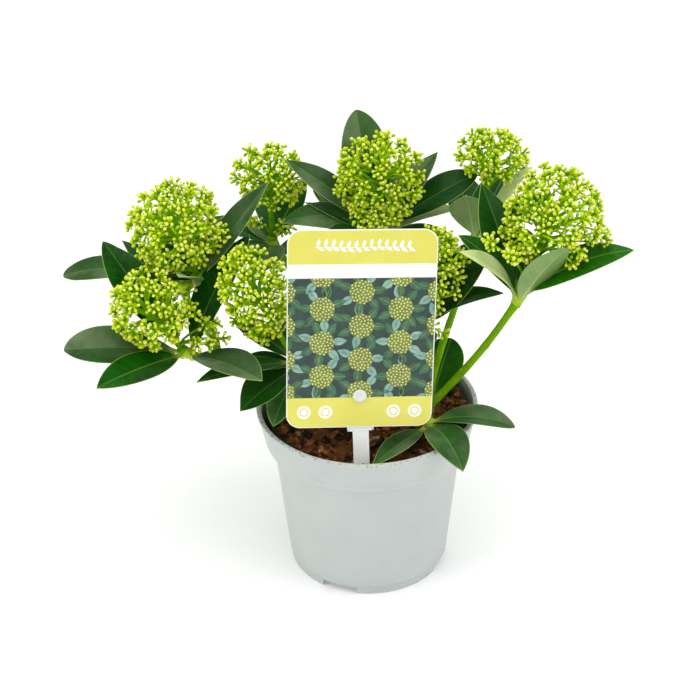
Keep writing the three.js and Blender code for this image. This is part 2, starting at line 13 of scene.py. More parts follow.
import bmesh
import bpy
import numpy as np
from mathutils import Matrix, Vector, noise
from mathutils.bvhtree import BVHTree

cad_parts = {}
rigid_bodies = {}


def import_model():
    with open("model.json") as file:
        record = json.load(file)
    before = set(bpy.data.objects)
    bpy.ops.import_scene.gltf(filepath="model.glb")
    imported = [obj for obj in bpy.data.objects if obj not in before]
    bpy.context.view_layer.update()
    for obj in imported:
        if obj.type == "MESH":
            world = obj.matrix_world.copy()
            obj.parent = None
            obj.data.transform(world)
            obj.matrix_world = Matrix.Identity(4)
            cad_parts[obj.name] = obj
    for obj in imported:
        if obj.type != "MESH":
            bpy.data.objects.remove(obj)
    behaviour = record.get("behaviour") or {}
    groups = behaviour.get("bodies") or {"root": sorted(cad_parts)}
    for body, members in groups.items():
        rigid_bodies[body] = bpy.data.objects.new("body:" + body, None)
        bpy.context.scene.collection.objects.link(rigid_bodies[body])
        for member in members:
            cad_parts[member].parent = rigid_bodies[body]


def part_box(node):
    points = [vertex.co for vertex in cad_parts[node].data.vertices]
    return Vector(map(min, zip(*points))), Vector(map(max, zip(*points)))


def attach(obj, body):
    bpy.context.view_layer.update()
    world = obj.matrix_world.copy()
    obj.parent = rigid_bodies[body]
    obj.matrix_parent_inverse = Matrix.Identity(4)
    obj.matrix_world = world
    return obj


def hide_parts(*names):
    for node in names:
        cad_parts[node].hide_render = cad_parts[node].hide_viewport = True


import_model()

LOG = logging.getLogger("skimmia")
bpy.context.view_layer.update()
MM = 0.001
GAP = 0.3
GOLDEN = 137.508
UP = np.array([0.0, 0.0, 1.0])
BOX_FACES = [[0, 1, 3, 2], [4, 6, 7, 5], [0, 4, 5, 1], [2, 3, 7, 6], [0, 2, 6, 4], [1, 5, 7, 3]]
# how far the stem of a flower head goes on above the leaves
NECK = 4.6


def pot_middle() -> np.ndarray:
    """The middle of the pot's foot in the row frame, in millimetres."""
    low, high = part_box("pot")
    return np.array([(low.x + high.x) / 2, (low.y + high.y) / 2, 0.0]) / MM


POT_MIDDLE = pot_middle()


def jitter(a: float, b: float) -> float:
    """A number from -1 to 1 that two seeds always give: the fraction of a fast sine wave."""
    wave = math.sin(a * 12.9898 + b * 78.233) * 43758.5453
    return 2 * (wave - math.floor(wave)) - 1


def pointing(heading: float, rise: float) -> np.ndarray:
    """A direction of length 1 along a heading, tipped up by a rise."""
    turn, tip = math.radians(heading), math.radians(rise)
    return np.array([math.cos(turn) * math.cos(tip), math.sin(turn) * math.cos(tip), math.sin(tip)])


def unit(vector: np.ndarray) -> np.ndarray:
    """The vector at length 1."""
    return vector / np.linalg.norm(vector)


def lerp(low: float, high: float, share: float) -> float:
    """The value at a share of the way from low to high."""
    return low + (high - low) * share


def bell(distance: np.ndarray, reach: float) -> np.ndarray:
    """A smooth hump, 1 at no distance and close to 0 from twice its reach."""
    return np.exp(-((distance / reach) ** 2))


def round_turns(sides: int) -> np.ndarray:
    """Angles spread evenly round a circle, in radians."""
    return 2 * math.pi * np.arange(sides) / sides


def ring_faces(rings: int, sides: int) -> list[list[int]]:
    """The faces between rings of points that are numbered ring by ring.

    Args:
        rings: How many rings.
        sides: The points of each.

    Returns:
        The corners of each face.
    """
    row, side = np.meshgrid(np.arange(rings - 1), np.arange(sides), indexing="ij")
    here, beside = row * sides + side, row * sides + (side + 1) % sides
    return np.stack([here, beside, beside + sides, here + sides], -1).reshape(-1, 4).tolist()


def ring_caps(rings: int, sides: int) -> list[list[int]]:
    """The flat faces that close the first and the last ring."""
    return [list(range(sides))[::-1], list(range((rings - 1) * sides, rings * sides))]


def linear(red: int, green: int, blue: int) -> tuple[float, float, float, float]:
    """A screen colour from 0 to 255 as a linear colour, with alpha 1."""
    parts = [c / 255 for c in (red, green, blue)]
    return (*(c / 12.92 if c <= 0.04045 else ((c + 0.055) / 1.055) ** 2.4 for c in parts), 1.0)


class Value:
    """A number in a finish, used in expressions that add the nodes for them."""

    def __init__(self, paint: "Paint", socket: bpy.types.NodeSocket) -> None:
        """Keep the material's nodes and the socket that gives the number."""
        self.paint, self.socket = paint, socket

    def maths(self, operation: str, *others: "Value | float", first: bool = True) -> "Value":
        """An operation on this value, which comes first or last, and the others."""
        values = (self, *others) if first else (*others, self)
        return self.paint.add("ShaderNodeMath", {"operation": operation}, *values)

    def __add__(self, other: "Value | float") -> "Value":
        """Sum."""
        return self.maths("ADD", other)

    def __sub__(self, other: "Value | float") -> "Value":
        """Difference."""
        return self.maths("SUBTRACT", other)

    def __rsub__(self, other: "Value | float") -> "Value":
        """Difference from another value."""
        return self.maths("SUBTRACT", other, first=False)

    def __mul__(self, other: "Value | float") -> "Value":
        """Product."""
        return self.maths("MULTIPLY", other)

    def between(self, low: float, high: float) -> "Value":
        """This value spread from 0 at low to 1 at high, and held there."""
        return self.paint.add("ShaderNodeMapRange", {"clamp": True}, self, low, high, 0.0, 1.0)


class Paint:
    """One material: a Principled shader, the nodes that feed it, its mottled colour and its two noises."""

    colour: Value
    patches: Value
    grain: Value

    def __init__(self, name: str, roughness: float) -> None:
        """Start the material.

        Args:
            name: The material's name.
            roughness: The surface's roughness.
        """
        self.material = bpy.data.materials.new(name)
        self.material.use_nodes = True
        self.tree = self.material.node_tree
        self.shader = self.tree.nodes["Principled BSDF"]
        self.shader.inputs["Roughness"].default_value = roughness
        self.place = self.tree.nodes.new("ShaderNodeTexCoord").outputs["Object"]

    def add(self, kind: str, settings: dict[str, object], *values: object, output: int | str = 0) -> Value:
        """A node, with its settings made first and its inputs set or linked in order.

        Args:
            kind: The node's type.
            settings: The node's own settings.
            values: A Value, a socket or a constant for each input, or None to leave it.
            output: The output's number or name.

        Returns:
            The node's output.
        """
        node = self.tree.nodes.new(kind)
        for key, value in settings.items():
            setattr(node, key, value)
        sockets = [s for s in node.inputs if s.enabled]
        for socket, value in zip(sockets, values):
            source = value.socket if isinstance(value, Value) else value
            if isinstance(source, bpy.types.NodeSocket):
                self.tree.links.new(source, socket)
            elif source is not None:
                socket.default_value = source
        return Value(self, node.outputs[output])

    def noise(self, scale: float, detail: float, stretch: tuple[float, float, float] = (1, 1, 1)) -> Value:
        """Noise of so many waves to the metre and finer layers, with the waves closer along an axis."""
        place = self.add("ShaderNodeMapping", {}, self.place, None, None, stretch).socket
        return self.add("ShaderNodeTexNoise", {}, place, scale, detail, output="Fac")

    def cells(self, scale: float) -> Value:
        """The distance to the nearest of many scattered points, so many to the metre."""
        return self.add("ShaderNodeTexVoronoi", {}, self.place, scale, output="Distance")

    def mix(self, share: "Value | float", low: object, high: object) -> Value:
        """A colour between two colours, the low one at 0 and the high one at 1."""
        return self.add("ShaderNodeMix", {"data_type": "RGBA"}, share, low, high, output="Result")

    def feed(self, name: str, value: Value) -> None:
        """Link a value to one of the shader's inputs."""
        self.tree.links.new(value.socket, self.shader.inputs[name])

    def bump(self, height: Value, distance: float) -> None:
        """Relief from a height.

        Args:
            height: The height, from 0 to 1.
            distance: What 1 stands for, in metres.
        """
        node = self.tree.nodes.new("ShaderNodeBump")
        node.inputs["Strength"].default_value = 1.0
        node.inputs["Distance"].default_value = distance
        self.tree.links.new(height.socket, node.inputs["Height"])
        self.tree.links.new(node.outputs["Normal"], self.shader.inputs["Normal"])


@dataclass(frozen=True)
class Finish:
    """A finish that wanders between two colours, with fine relief."""

    name: str
    colour: tuple[int, int, int]
    other: tuple[int, int, int]
    roughness: float = 0.5
    patch: float = 90.0
    grain: float = 900.0
    relief: float = 0.0001
    gloss: float = 0.0
    specular: float = 0.5

    def make(self) -> bpy.types.Material:
        """The material, with its nodes.

        Returns:
            The material.
        """
        paint = Paint(self.name, self.roughness)
        paint.shader.inputs["Coat Weight"].default_value = self.gloss
        paint.shader.inputs["Coat Roughness"].default_value = 0.25
        paint.shader.inputs["Specular IOR Level"].default_value = self.specular
        paint.patches, paint.grain = paint.noise(self.patch, 3.0), paint.noise(self.grain, 2.0)
        share = (paint.patches * 0.75 + paint.grain * 0.25).between(0.36, 0.64)
        paint.colour = paint.mix(share, linear(*self.other), linear(*self.colour))
        self.dress(paint)
        return paint.material

    def dress(self, paint: Paint) -> None:
        """Feed the shader.

        Args:
            paint: The material's nodes.
        """
        paint.feed("Base Color", paint.colour)
        paint.feed("Roughness", paint.patches * 0.16 + (self.roughness - 0.08))
        paint.bump(paint.grain, self.relief)


@dataclass(frozen=True)
class PotFinish(Finish):
    """Moulded pale plastic with dirt specks, a few scuffs, painted shade along its creases and a soiled lip
    and foot.

    The painted shade of each crease is its height in metres and its strength.
    """

    # Painted shade: a thin darker band at each crease of the collar and at the step of the foot.
    lines: tuple[tuple[float, float], ...] = ((0.0887, 0.12), (0.0832, 0.2), (0.0052, 0.22))
    lip: tuple[float, float] = (0.1044, 0.1054)
    foot: tuple[float, float] = (0.001, 0.004)

    def dress(self, paint: Paint) -> None:
        """Feed the shader.

        Args:
            paint: The material's nodes.
        """
        where = paint.noise(38.0, 2.0).between(0.42, 0.6)
        specks = (1 - paint.cells(360.0).between(0.08, 0.15)) * where
        scuffs = paint.noise(150.0, 3.0, (0.35, 0.35, 3.2)).between(0.71, 0.75) * where
        height = paint.add("ShaderNodeSeparateXYZ", {}, paint.place, output="Z")
        lip = height.between(*self.lip) * paint.noise(560.0, 4.0).between(0.54, 0.62)
        foot = (1 - height.between(*self.foot)) * paint.noise(330.0, 3.0).between(0.55, 0.66)
        colour = paint.colour
        # Painted shade: darken a thin band along each crease, where the shading of the step falls.
        for at, depth in self.lines:
            line = (height - at).maths("ABSOLUTE").between(0.0002, 0.0007)
            colour = paint.mix((1 - line) * depth, colour, linear(132, 140, 138))
        for share, dirt in ((specks * 0.55, (96, 92, 80)), (scuffs * 0.3, (150, 155, 150)),
                            (lip * 0.6, (142, 120, 84)), (foot * 0.45, (150, 140, 118))):
            colour = paint.mix(share, colour, linear(*dirt))
        paint.feed("Base Color", colour)
        paint.feed("Roughness", paint.patches * 0.12 + (self.roughness - 0.06) + scuffs * 0.1)
        paint.bump(paint.grain * 0.6 + scuffs * 0.4, self.relief)


@dataclass(frozen=True)
class LeafFinish(Finish):
    """One face of a leaf: its rib, side veins, pale edge and stalk are painted from the leaf's own marks.

    The marks are the distances from the midline and from the edge in millimetres, the share of the leaf's
    length, and the count of side veins, with the tenths of painted sheen on that half as its hundreds. The
    painted sheen is a greyish colour that stands in for the light that a half of the leaf reflects.
    """

    patch: float = 70.0
    grain: float = 1400.0
    specular: float = 0.1
    rib: tuple[int, int, int] = (112, 150, 62)
    stalk: tuple[int, int, int] = (208, 218, 92)
    edge: float = 0.7
    vein: float = 0.12
    # Painted sheen: how strongly, and in which greyish colour, a half of the leaf is lightened as if it
    # reflected light.
    bloom: float = 0.75
    rim: tuple[int, int, int] = (166, 192, 100)
    dust: tuple[int, int, int] = (116, 134, 98)

    def dress(self, paint: Paint) -> None:
        """Feed the shader.

        Args:
            paint: The material's nodes.
        """
        marks = [paint.add("ShaderNodeAttribute", {"attribute_name": "marks"}, output=key)
                 for key in ("Color", "Alpha")]
        middle, edge, along = (paint.add("ShaderNodeSeparateColor", {}, marks[0], output=k) for k in range(3))
        pale = linear(*self.rib)
        # Painted sheen: a greyish colour mixed in on each half by the tenths that its marks carry, mottled by
        # noise.
        sheen_mottle = paint.noise(48.0, 3.0).between(0.36, 0.64) * 0.085 + 0.022
        bloom = (marks[1] * 0.01).maths("FLOOR") * sheen_mottle * self.bloom
        colour = paint.mix(bloom, paint.colour, linear(*self.dust))
        veins = marks[1].maths("PINGPONG", 0.5) * 2.0
        vein = (1 - veins.between(0.0, 0.2)) * (middle.between(0.8, 2.4) * edge.between(0.8, 2.6))
        colour = paint.mix(vein * self.vein, colour, pale)
        colour = paint.mix((1 - edge.between(0.2, 0.6)) * self.edge, colour, linear(*self.rim))
        base = 1 - along.between(0.1, 0.34)
        colour = paint.mix(base * (1 - middle.between(0.8, 4.5)) * 0.55, colour, pale)
        ribs = (1 - middle.between(0.3, 0.62)) * (1 - along.between(0.1, 1.05) * 0.75)
        colour = paint.mix(ribs, colour, pale)
        colour = paint.mix(1 - along.between(0.05, 0.16), colour, linear(*self.stalk))
        paint.feed("Base Color", colour)
        paint.feed("Roughness", paint.patches * 0.3 + (self.roughness - 0.15) + vein * 0.06)
        paint.bump(paint.grain * 0.5 - vein * 0.5, self.relief)


@dataclass(frozen=True)
class MixFinish(Finish):
    """Damp peat and bark fines: dark crumbs with a few pale ones."""

    crumb: tuple[int, int, int] = (150, 126, 96)

    def dress(self, paint: Paint) -> None:
        """Feed the shader.

        Args:
            paint: The material's nodes.
        """
        crumbs = paint.cells(700.0)
        pale = (1 - paint.cells(260.0).between(0.1, 0.16)) * paint.patches.between(0.55, 0.6)
        paint.feed("Base Color", paint.mix(pale * 0.6, paint.colour, linear(*self.crumb)))
        paint.feed("Roughness", paint.patches * 0.2 + 0.75)
        paint.bump(crumbs * 0.7 + paint.grain * 0.3, self.relief)


@dataclass(frozen=True)
class BarkFinish(Finish):
    """A dry chip of bark."""

    roughness: float = 0.85
    patch: float = 240.0
    grain: float = 1200.0
    relief: float = 0.0004
    specular: float = 0.15


@dataclass(frozen=True)
class BudFinish(Finish):
    """The fine waxy skin of a flower bud."""

    roughness: float = 0.45
    patch: float = 260.0
    grain: float = 1500.0
    relief: float = 0.00005
    specular: float = 0.15


@dataclass(frozen=True)
class InkFinish(Finish):
    """Card and the ink on it, with a slight gloss."""

    roughness: float = 0.38
    patch: float = 220.0
    grain: float = 1800.0
    relief: float = 0.00002
    gloss: float = 0.3


class Look(Enum):
    """The finishes of the plant, its pot and its label."""

    POT = PotFinish("pot_plastic", (188, 195, 192), (182, 189, 186), 0.42, 30.0, 2600.0, 0.00002)
    MIX = MixFinish("potting_mix", (44, 27, 14), (16, 10, 6), 0.9, 160.0, 1500.0, 0.0012)
    CHIP_RED = BarkFinish("bark_red", (148, 88, 40), (78, 42, 16), 0.8, 260.0)
    CHIP_BROWN = BarkFinish("bark_brown", (110, 68, 28), (54, 33, 12))
    CHIP_DARK = BarkFinish("bark_dark", (46, 28, 15), (22, 14, 8))
    CHIP_PALE = BarkFinish("bark_pale", (170, 140, 104), (112, 84, 58), patch=300.0, relief=0.0003,
                           specular=0.5)
    LEAF_DARK = LeafFinish("leaf_dark", (12, 76, 0), (4, 52, 0), 0.4, 60.0, rib=(84, 124, 44))
    LEAF_GREEN = LeafFinish("leaf_green", (16, 88, 0), (4, 62, 0), 0.42, 60.0, rib=(92, 140, 44))
    LEAF_FRESH = LeafFinish("leaf_fresh", (34, 108, 2), (16, 82, 0), 0.44, rib=(116, 164, 56), edge=0.75,
                            vein=0.14)
    LEAF_PALE = LeafFinish("leaf_pale", (208, 222, 160), (190, 208, 132), specular=0.3, rib=(172, 198, 124),
                           stalk=(186, 204, 70), edge=0.3, vein=0.15)
    UNDER = LeafFinish("leaf_under", (138, 166, 98), (114, 146, 76), 0.55, specular=0.25, rib=(164, 190, 112),
                       stalk=(178, 198, 62), edge=0.3, vein=0.2)
    STEM = Finish("green_stem", (122, 174, 6), (102, 154, 0), 0.5, 110.0, 800.0, 0.0002, specular=0.05)
    BARK = Finish("young_bark", (124, 122, 54), (88, 84, 36), 0.75, 160.0, 700.0, 0.0005, specular=0.3)
    SCAR = Finish("leaf_scar", (196, 192, 130), (140, 118, 70), 0.7, 300.0, 900.0, 0.0002, specular=0.3)
    NODE = Finish("stem_node", (182, 204, 46), (158, 188, 30), 0.5, 200.0, 1200.0, specular=0.12)
    TWIG = Finish("flower_twig", (124, 180, 8), (98, 156, 2), patch=160.0, specular=0.06)
    TWIG_PALE = Finish("flower_stalk", (188, 222, 14), (164, 206, 6), patch=160.0, specular=0.06)
    BUD_CREAM = BudFinish("bud_cream", (236, 238, 120), (218, 228, 58))
    BUD_YELLOW = BudFinish("bud_yellow", (220, 231, 40), (202, 219, 32))
    BUD_GREEN = BudFinish("bud_green", (202, 222, 20), (182, 208, 20))
    BLUSH = BudFinish("bud_blush", (241, 241, 158), (224, 226, 92), 0.5, specular=0.3)
    CARD = InkFinish("card_stock", (246, 247, 240), (240, 241, 234), 0.4, 60.0)
    BAND = InkFinish("print_lime", (226, 220, 96), (219, 213, 84), patch=60.0)
    PANEL = InkFinish("print_teal", (36, 66, 52), (22, 44, 38), patch=180.0)
    PRINT_LEAF = InkFinish("print_leaf", (58, 112, 78), (36, 86, 60))
    PRINT_SHEEN = InkFinish("print_sheen", (146, 184, 176), (100, 150, 136))
    PRINT_CLUSTER = InkFinish("print_moss", (122, 146, 56), (92, 118, 42))
    PRINT_DOT = InkFinish("print_dots", (240, 228, 144), (228, 208, 116))
    PRINT_BLUSH = InkFinish("print_blush", (246, 206, 168), (236, 188, 146), patch=140.0)
    STAKE = Finish("stake_plastic", (251, 252, 250), (245, 247, 244), 0.35, 60.0, 1500.0, 0.00002, 0.1)
    KNOB = Finish("knob_plastic", (226, 228, 220), (214, 217, 208), 0.3, 60.0, 1500.0, 0.00002, 0.3)

    def material(self) -> bpy.types.Material:
        """The finish's material, made when it is first asked for."""
        return bpy.data.materials.get(self.value.name) or self.value.make()


@dataclass
class Build:
    """Points and faces of one piece, gathered before its mesh is made."""

    looks: list[Look]
    points: list[np.ndarray] = field(default_factory=list)
    faces: list[list[int]] = field(default_factory=list)
    slots: list[int] = field(default_factory=list)
    marks: list[np.ndarray] = field(default_factory=list)
    count: int = 0

    def add(self, points: np.ndarray, faces: list[list[int]], look: Look | list[int]) -> None:
        """Add points, and faces that are numbered from the first of them.

        Args:
            points: The points, one in each row.
            faces: The corners of each face.
            look: The faces' finish, or the number of each face's finish in looks.
        """
        self.faces += [[corner + self.count for corner in face] for face in faces]
        self.slots += [self.looks.index(look)] * len(faces) if isinstance(look, Look) else look
        self.points.append(np.asarray(points, float).reshape(-1, 3))
        self.count += len(self.points[-1])

    def box(self, corners: list[np.ndarray] | np.ndarray) -> None:
        """Add a box in the first finish from its eight corners, the last axis changing first."""
        self.add(corners, BOX_FACES, self.looks[0])

    def polygon(self, points: np.ndarray, look: Look) -> None:
        """Add one flat face."""
        self.add(points, [list(range(len(points)))], look)

    def rings(self, rings: np.ndarray, look: Look | list[int]) -> None:
        """Join rings of points into a skin, with a flat face at each end.

        Args:
            rings: The points, as rings by points by 3.
            look: The finish, or the number of each face's finish, ring by ring.
        """
        count, sides = rings.shape[:2]
        slots = look if isinstance(look, Look) else [*look, look[-1], look[-1]]
        self.add(rings, ring_faces(count, sides) + ring_caps(count, sides), slots)

    def object(self, name: str, smooth: bool = True, recalculate: bool = True) -> bpy.types.Object:
        """The piece as an object, in metres in the row frame.

        Args:
            name: The piece's name.
            smooth: Whether the faces are shaded smooth.
            recalculate: Whether the faces are turned outwards.

        Returns:
            The object.
        """
        mesh = bpy.data.meshes.new(name)
        places = (np.concatenate(self.points) + POT_MIDDLE) * MM
        mesh.from_pydata(places.tolist(), [], self.faces)
        for look in self.looks:
            mesh.materials.append(look.material())
        mesh.polygons.foreach_set("material_index", self.slots)
        mesh.polygons.foreach_set("use_smooth", [smooth] * len(self.faces))
        if self.marks:
            marks = mesh.attributes.new("marks", "FLOAT_COLOR", "POINT")
            marks.data.foreach_set("color", np.concatenate(self.marks).ravel())
        if recalculate:
            skin = bmesh.new()
            skin.from_mesh(mesh)
            bmesh.ops.recalc_face_normals(skin, faces=skin.faces)
            skin.to_mesh(mesh)
            skin.free()
        mesh.update()
        return placed(name, mesh)


def placed(name: str, content: bpy.types.ID) -> bpy.types.Object:
    """A new object in the scene.

    Args:
        name: The object's name.
        content: Its mesh, light or camera.

    Returns:
        The object.
    """
    thing = bpy.data.objects.new(name, content)
    bpy.context.scene.collection.objects.link(thing)
    return thing


def settle(piece: bpy.types.Object, slot: str, *nodes: str) -> None:
    """Make a finished piece part of the plant and hide the nodes that it replaces.

    Args:
        piece: The piece.
        slot: Not used.
        nodes: The nodes that it replaces.
    """
    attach(piece, "root")
    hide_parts(*nodes)
    LOG.info("%s: %d faces", piece.name, len(piece.data.polygons))


def applied(piece: bpy.types.Object) -> bpy.types.Object:
    """The piece with its modifiers made part of its mesh.

    Args:
        piece: The piece.

    Returns:
        The same object.
    """
    graph = bpy.context.evaluated_depsgraph_get()
    mesh = bpy.data.meshes.new_from_object(piece.evaluated_get(graph))
    piece.modifiers.clear()
    piece.data = mesh
    return piece


@dataclass(frozen=True)
class Bezier:
    """The curve of a limb: it leaves along one direction and arrives along another.

    The pull is how far the curve is drawn along each of them, as a share of its span.
    """

    start: np.ndarray
    leaving: np.ndarray
    end: np.ndarray
    arriving: np.ndarray
    pull: float = 0.36

    def at(self, share: float | np.ndarray) -> np.ndarray:
        """Places on the curve.

        Args:
            share: The curve's parameter, from 0 to 1, or several of them.

        Returns:
            The place, or one in each row.
        """
        reach = np.linalg.norm(self.end - self.start) * self.pull
        knots = [self.start, self.start + self.leaving * reach, self.end - self.arriving * reach, self.end]
        t = np.asarray(share, float)[..., None]
        parts = [(1 - t) ** 3, 3 * t * (1 - t) ** 2, 3 * t * t * (1 - t), t**3]
        return sum(part * knot for part, knot in zip(parts, knots))


def tube(path: np.ndarray, radii: np.ndarray, sides: int) -> np.ndarray:
    """Rings round a path.

    Args:
        path: The path's points.
        radii: The radius at each point, or at each point and side.
        sides: The ring's points.

    Returns:
        The rings, as rings by points by 3.
    """
    along = np.gradient(path, axis=0)
    along /= np.linalg.norm(along, axis=1)[:, None]
    side = np.array([1.0, 0, 0]) if abs(along[0][2]) > 0.9 else UP
    turns = round_turns(sides)
    wide = np.broadcast_to(np.asarray(radii, float).reshape(len(path), -1), (len(path), sides))
    rings = np.empty((len(path), sides, 3))
    for i, way in enumerate(along):
        side = unit(side - way * side.dot(way))
        across = np.cross(way, side)
        out = np.cos(turns)[:, None] * side + np.sin(turns)[:, None] * across
        rings[i] = path[i] + out * wide[i][:, None]
    return rings


class Tone(Enum):
    """The colours that leaves are dealt."""

    DARK = "d"
    GREEN = "g"
    FRESH = "f"
    PALE = "p"


@dataclass(frozen=True)
class Leaf:
    """One leaf: where it points, its size, how it curls and how its blade is tipped."""

    heading: float
    rise: float
    length: float
    width: float = 23.0
    curl: float = 24.0
    roll: float = 0.0
    taper: float = 0.95

    def ways(self, shares: np.ndarray) -> np.ndarray:
        """The leaf's directions at shares of its length."""
        return np.array([pointing(self.heading, self.rise + self.curl * (0.5 - s)) for s in shares])

    def spine(self, base: np.ndarray, shares: np.ndarray) -> np.ndarray:
        """Places on the leaf's midline.

        Args:
            base: Where the leaf starts.
            shares: Shares of its length.

        Returns:
            The places, one in each row.
        """
        steps = 240
        fine = np.linspace(0, 1, steps + 1)
        line = np.vstack([np.zeros(3), np.cumsum(self.ways((fine[1:] + fine[:-1]) / 2), 0)])
        line = line * self.length / steps + base
        return np.stack([np.interp(shares, fine, line[:, k]) for k in range(3)], -1)


@dataclass(frozen=True)
class Head:
    """The dome of a flower head."""

    top: tuple[float, float, float]
    width: float
    height: float


@dataclass(frozen=True)
class Shoot:
    """A ring of leaves on the end of a stem, with or without a flower head.

    The tones hold a letter for each leaf, a capital where the leaf has a strong greyish painted sheen. The
    sprays are the ends of longer twigs at the head's sides, and the foot is where a low shoot leaves its
    trunk.
    """

    at: tuple[float, float, float]
    tones: str
    leaves: tuple[Leaf, ...]
    head: Head | None = None
    sprays: tuple[tuple[float, float, float], ...] = ()
    foot: tuple[float, float, float] | None = None

    def axis(self) -> np.ndarray:
        """The way that the flower head points, or straight up."""
        return unit(np.array(self.head.top) - np.array(self.at)) if self.head else UP


def leaves(*rows: tuple[float, ...]) -> tuple[Leaf, ...]:
    """Leaves from rows of their values."""
    return tuple(Leaf(*row) for row in rows)


SHOOTS = {
    "centre": Shoot(
        (8, 53, 190), "DGdGDdPggdgg",
        leaves((165, 36, 69, 18, 20, -20), (184, 10, 60, 22, 62, -22, 0.8), (172, 24, 48, 18),
               (112, 64, 76, 31, -4, 0, 0.6), (36, 42, 59, 20, 20, 10), (17, 26, 68, 25, 18, 8, 0.6),
               (16, 9, 57, 17, 46), (352, 8, 42, 18), (70, 24, 60), (135, 14, 56), (262, 16, 44, 19),
               (222, 24, 44, 18)),
        Head((8, 48, 227), 58, 59),
        ((-2, 34, 210), (3, 30, 208), (8, 28, 208), (13, 31, 208), (18, 36, 210)),
    ),
    "upper_left": Shoot(
        (-95, 17, 178), "Dgggdp",
        leaves((33, 46, 70, 21, 12), (62, 30, 54, 19), (88, 8, 50, 20), (150, 30, 40, 19), (205, 18, 46, 19),
               (250, 35, 32, 15)),
        Head((-107, 20, 212), 59, 61),
        ((-115, 5, 196), (-105, 10, 189), (-100, 2, 178), (-83, 20, 206)),
    ),
    "lower_left": Shoot(
        (-103, -9, 146.5), "DgDdg",
        leaves((195, 11, 69, 27, 16, -24, 0.6), (224, 5, 63, 22, 16, -20), (319, 7, 60, 27, 26),
               (48, 48, 79, 25, 34), (137, 36, 82, 28, -3, 0, 0.75)),
        Head((-121, -15, 178), 49, 54),
        ((-99, -14, 173), (-90, -10, 165), (-86, -14, 159), (-94, -18, 158)),
    ),
    "back_left": Shoot(
        (-56, 75, 172), "gGgGgDg",
        leaves((50, 42, 44, 20), (139, 25, 26, 10), (215, 14, 24, 15), (345, 4, 46, 20, 24, 32), (92, 22, 60),
               (262, 5, 43, 24, 44, 0, 0.7), (150, 6, 52, 20)),
        Head((-56, 76, 217), 50, 43),
        ((-64, 72, 187), (-50, 72, 184)),
    ),
    "front_left": Shoot(
        (-40, -12, 141), "ggdGgdgg",
        leaves((203, 2, 60, 19), (190, 4, 36, 20), (216, -20, 43, 26, 20), (238, -40, 37, 18),
               (150, 22, 46, 20), (100, 22, 46, 20), (335, 10, 30, 16), (30, 14, 44, 19)),
        Head((-60, -10, 183), 47, 72),
    ),
    "back_right": Shoot(
        (65, 59, 182), "ppggd",
        leaves((248, 62, 42, 26, 8, 8), (344, 58, 61, 25, 2, 10), (22, 22, 58), (62, 30, 60), (100, 18, 60)),
        Head((75, 70, 230), 50, 39),
    ),
    "right": Shoot(
        (86, -5, 177.5), "dgppfdg",
        leaves((115, 47, 70, 25, 13), (165, 46, 52, 18, 41, -16), (201, 47, 56, 15, 50, -18),
               (331, 57, 51, 23, 17, -38, 0.62), (1, 25, 70, 26, 42, 12), (80, 30, 48, 21), (60, 2, 56)),
        Head((103, 6, 220), 62, 70),
        ((68, -14, 217), (78, -20, 212), (128, 2, 212), (108, -14, 211)),
    ),
    "front_right": Shoot(
        (31, 1, 155), "gdgdgg",
        leaves((358, 26.5, 54, 21, 54), (24, 48, 67, 34, 14, 8), (196, 14, 44, 20), (128, 28, 48, 20),
               (275, 8, 30, 15), (245, 20, 34, 17)),
        Head((37, 4, 190), 44, 64),
        ((38, -2, 157),),
    ),
    "rear": Shoot(
        (4, 116, 156), "gdgdgfgd",
        leaves((20, 8, 60), (62, 14, 64), (98, 8, 66), (132, 18, 60), (168, 6, 58), (300, 26, 40, 18),
               (240, 26, 40, 18), (80, 42, 50, 20)),
        Head((3, 117, 188), 40, 40),
    ),
    "rear_left": Shoot(
        (-110, 58, 150), "DdgdgD",
        leaves((187, 12, 75, 20, 58, -10, 0.55), (152, 30, 50, 21), (70, 10, 58), (110, 18, 60), (140, 4, 58),
               (30, 10, 48, 20)),
        Head((-112, 62, 187), 40, 42),
    ),
    "basal_right": Shoot(
        (35, -20, 103.5), "GGD",
        leaves((350, 3, 52, 22, 52, 0, 0.75), (293, -3, 49, 23, 70), (226, -4, 47, 15, 26)),
        foot=(34.6, -9, 99.8),
    ),
    "basal_rear": Shoot(
        (38, 4, 102), "ffg",
        leaves((60, 52, 40, 27, 12, 0, 0.6), (96, 22, 44, 20), (140, 28, 42, 19)),
        foot=(34.6, -8, 99.8),
    ),
}


@dataclass(frozen=True)
class Limb:
    """A trunk or bough: what it leaves, where it ends, and how it tapers."""

    base: float
    end: float
    shoot: str = ""
    parent: str = ""
    share: float = 0.0
    rise: float = 90.0
    foot: tuple[float, float, float] = (0, 0, 0)
    tip: tuple[float, float, float] = (0, 0, 0)
    flare: float = 0.0


LIMBS = {
    "trunk": Limb(6.2, 2.5, "centre", foot=(2, 14, 94.4), flare=2.2),
    "right_trunk": Limb(5.2, 4.4, foot=(34, -9, 94.4), tip=(35, -8, 106), flare=1.4),
    "left_bough": Limb(3.6, 2.4, "lower_left", "trunk", 0.22, 14),
    "front_left_bough": Limb(2.7, 2.3, "front_left", "trunk", 0.3, 20),
    "back_left_bough": Limb(2.7, 2.3, "back_left", "trunk", 0.5, 35),
    "front_right_bough": Limb(2.7, 2.3, "front_right", "trunk", 0.34, 35),
    "rear_bough": Limb(2.6, 2.2, "rear", "trunk", 0.4, 20),
    "right_bough": Limb(2.3, 2.05, "right", "right_trunk", 1.0, 50),
    "back_right_bough": Limb(2.2, 1.9, "back_right", "right_trunk", 1.0, 72),
    "upper_left_bough": Limb(2.4, 2.1, "upper_left", "left_bough", 0.93, 60),
    "rear_left_bough": Limb(2.1, 1.9, "rear_left", "upper_left_bough", 0.3, 20),
}


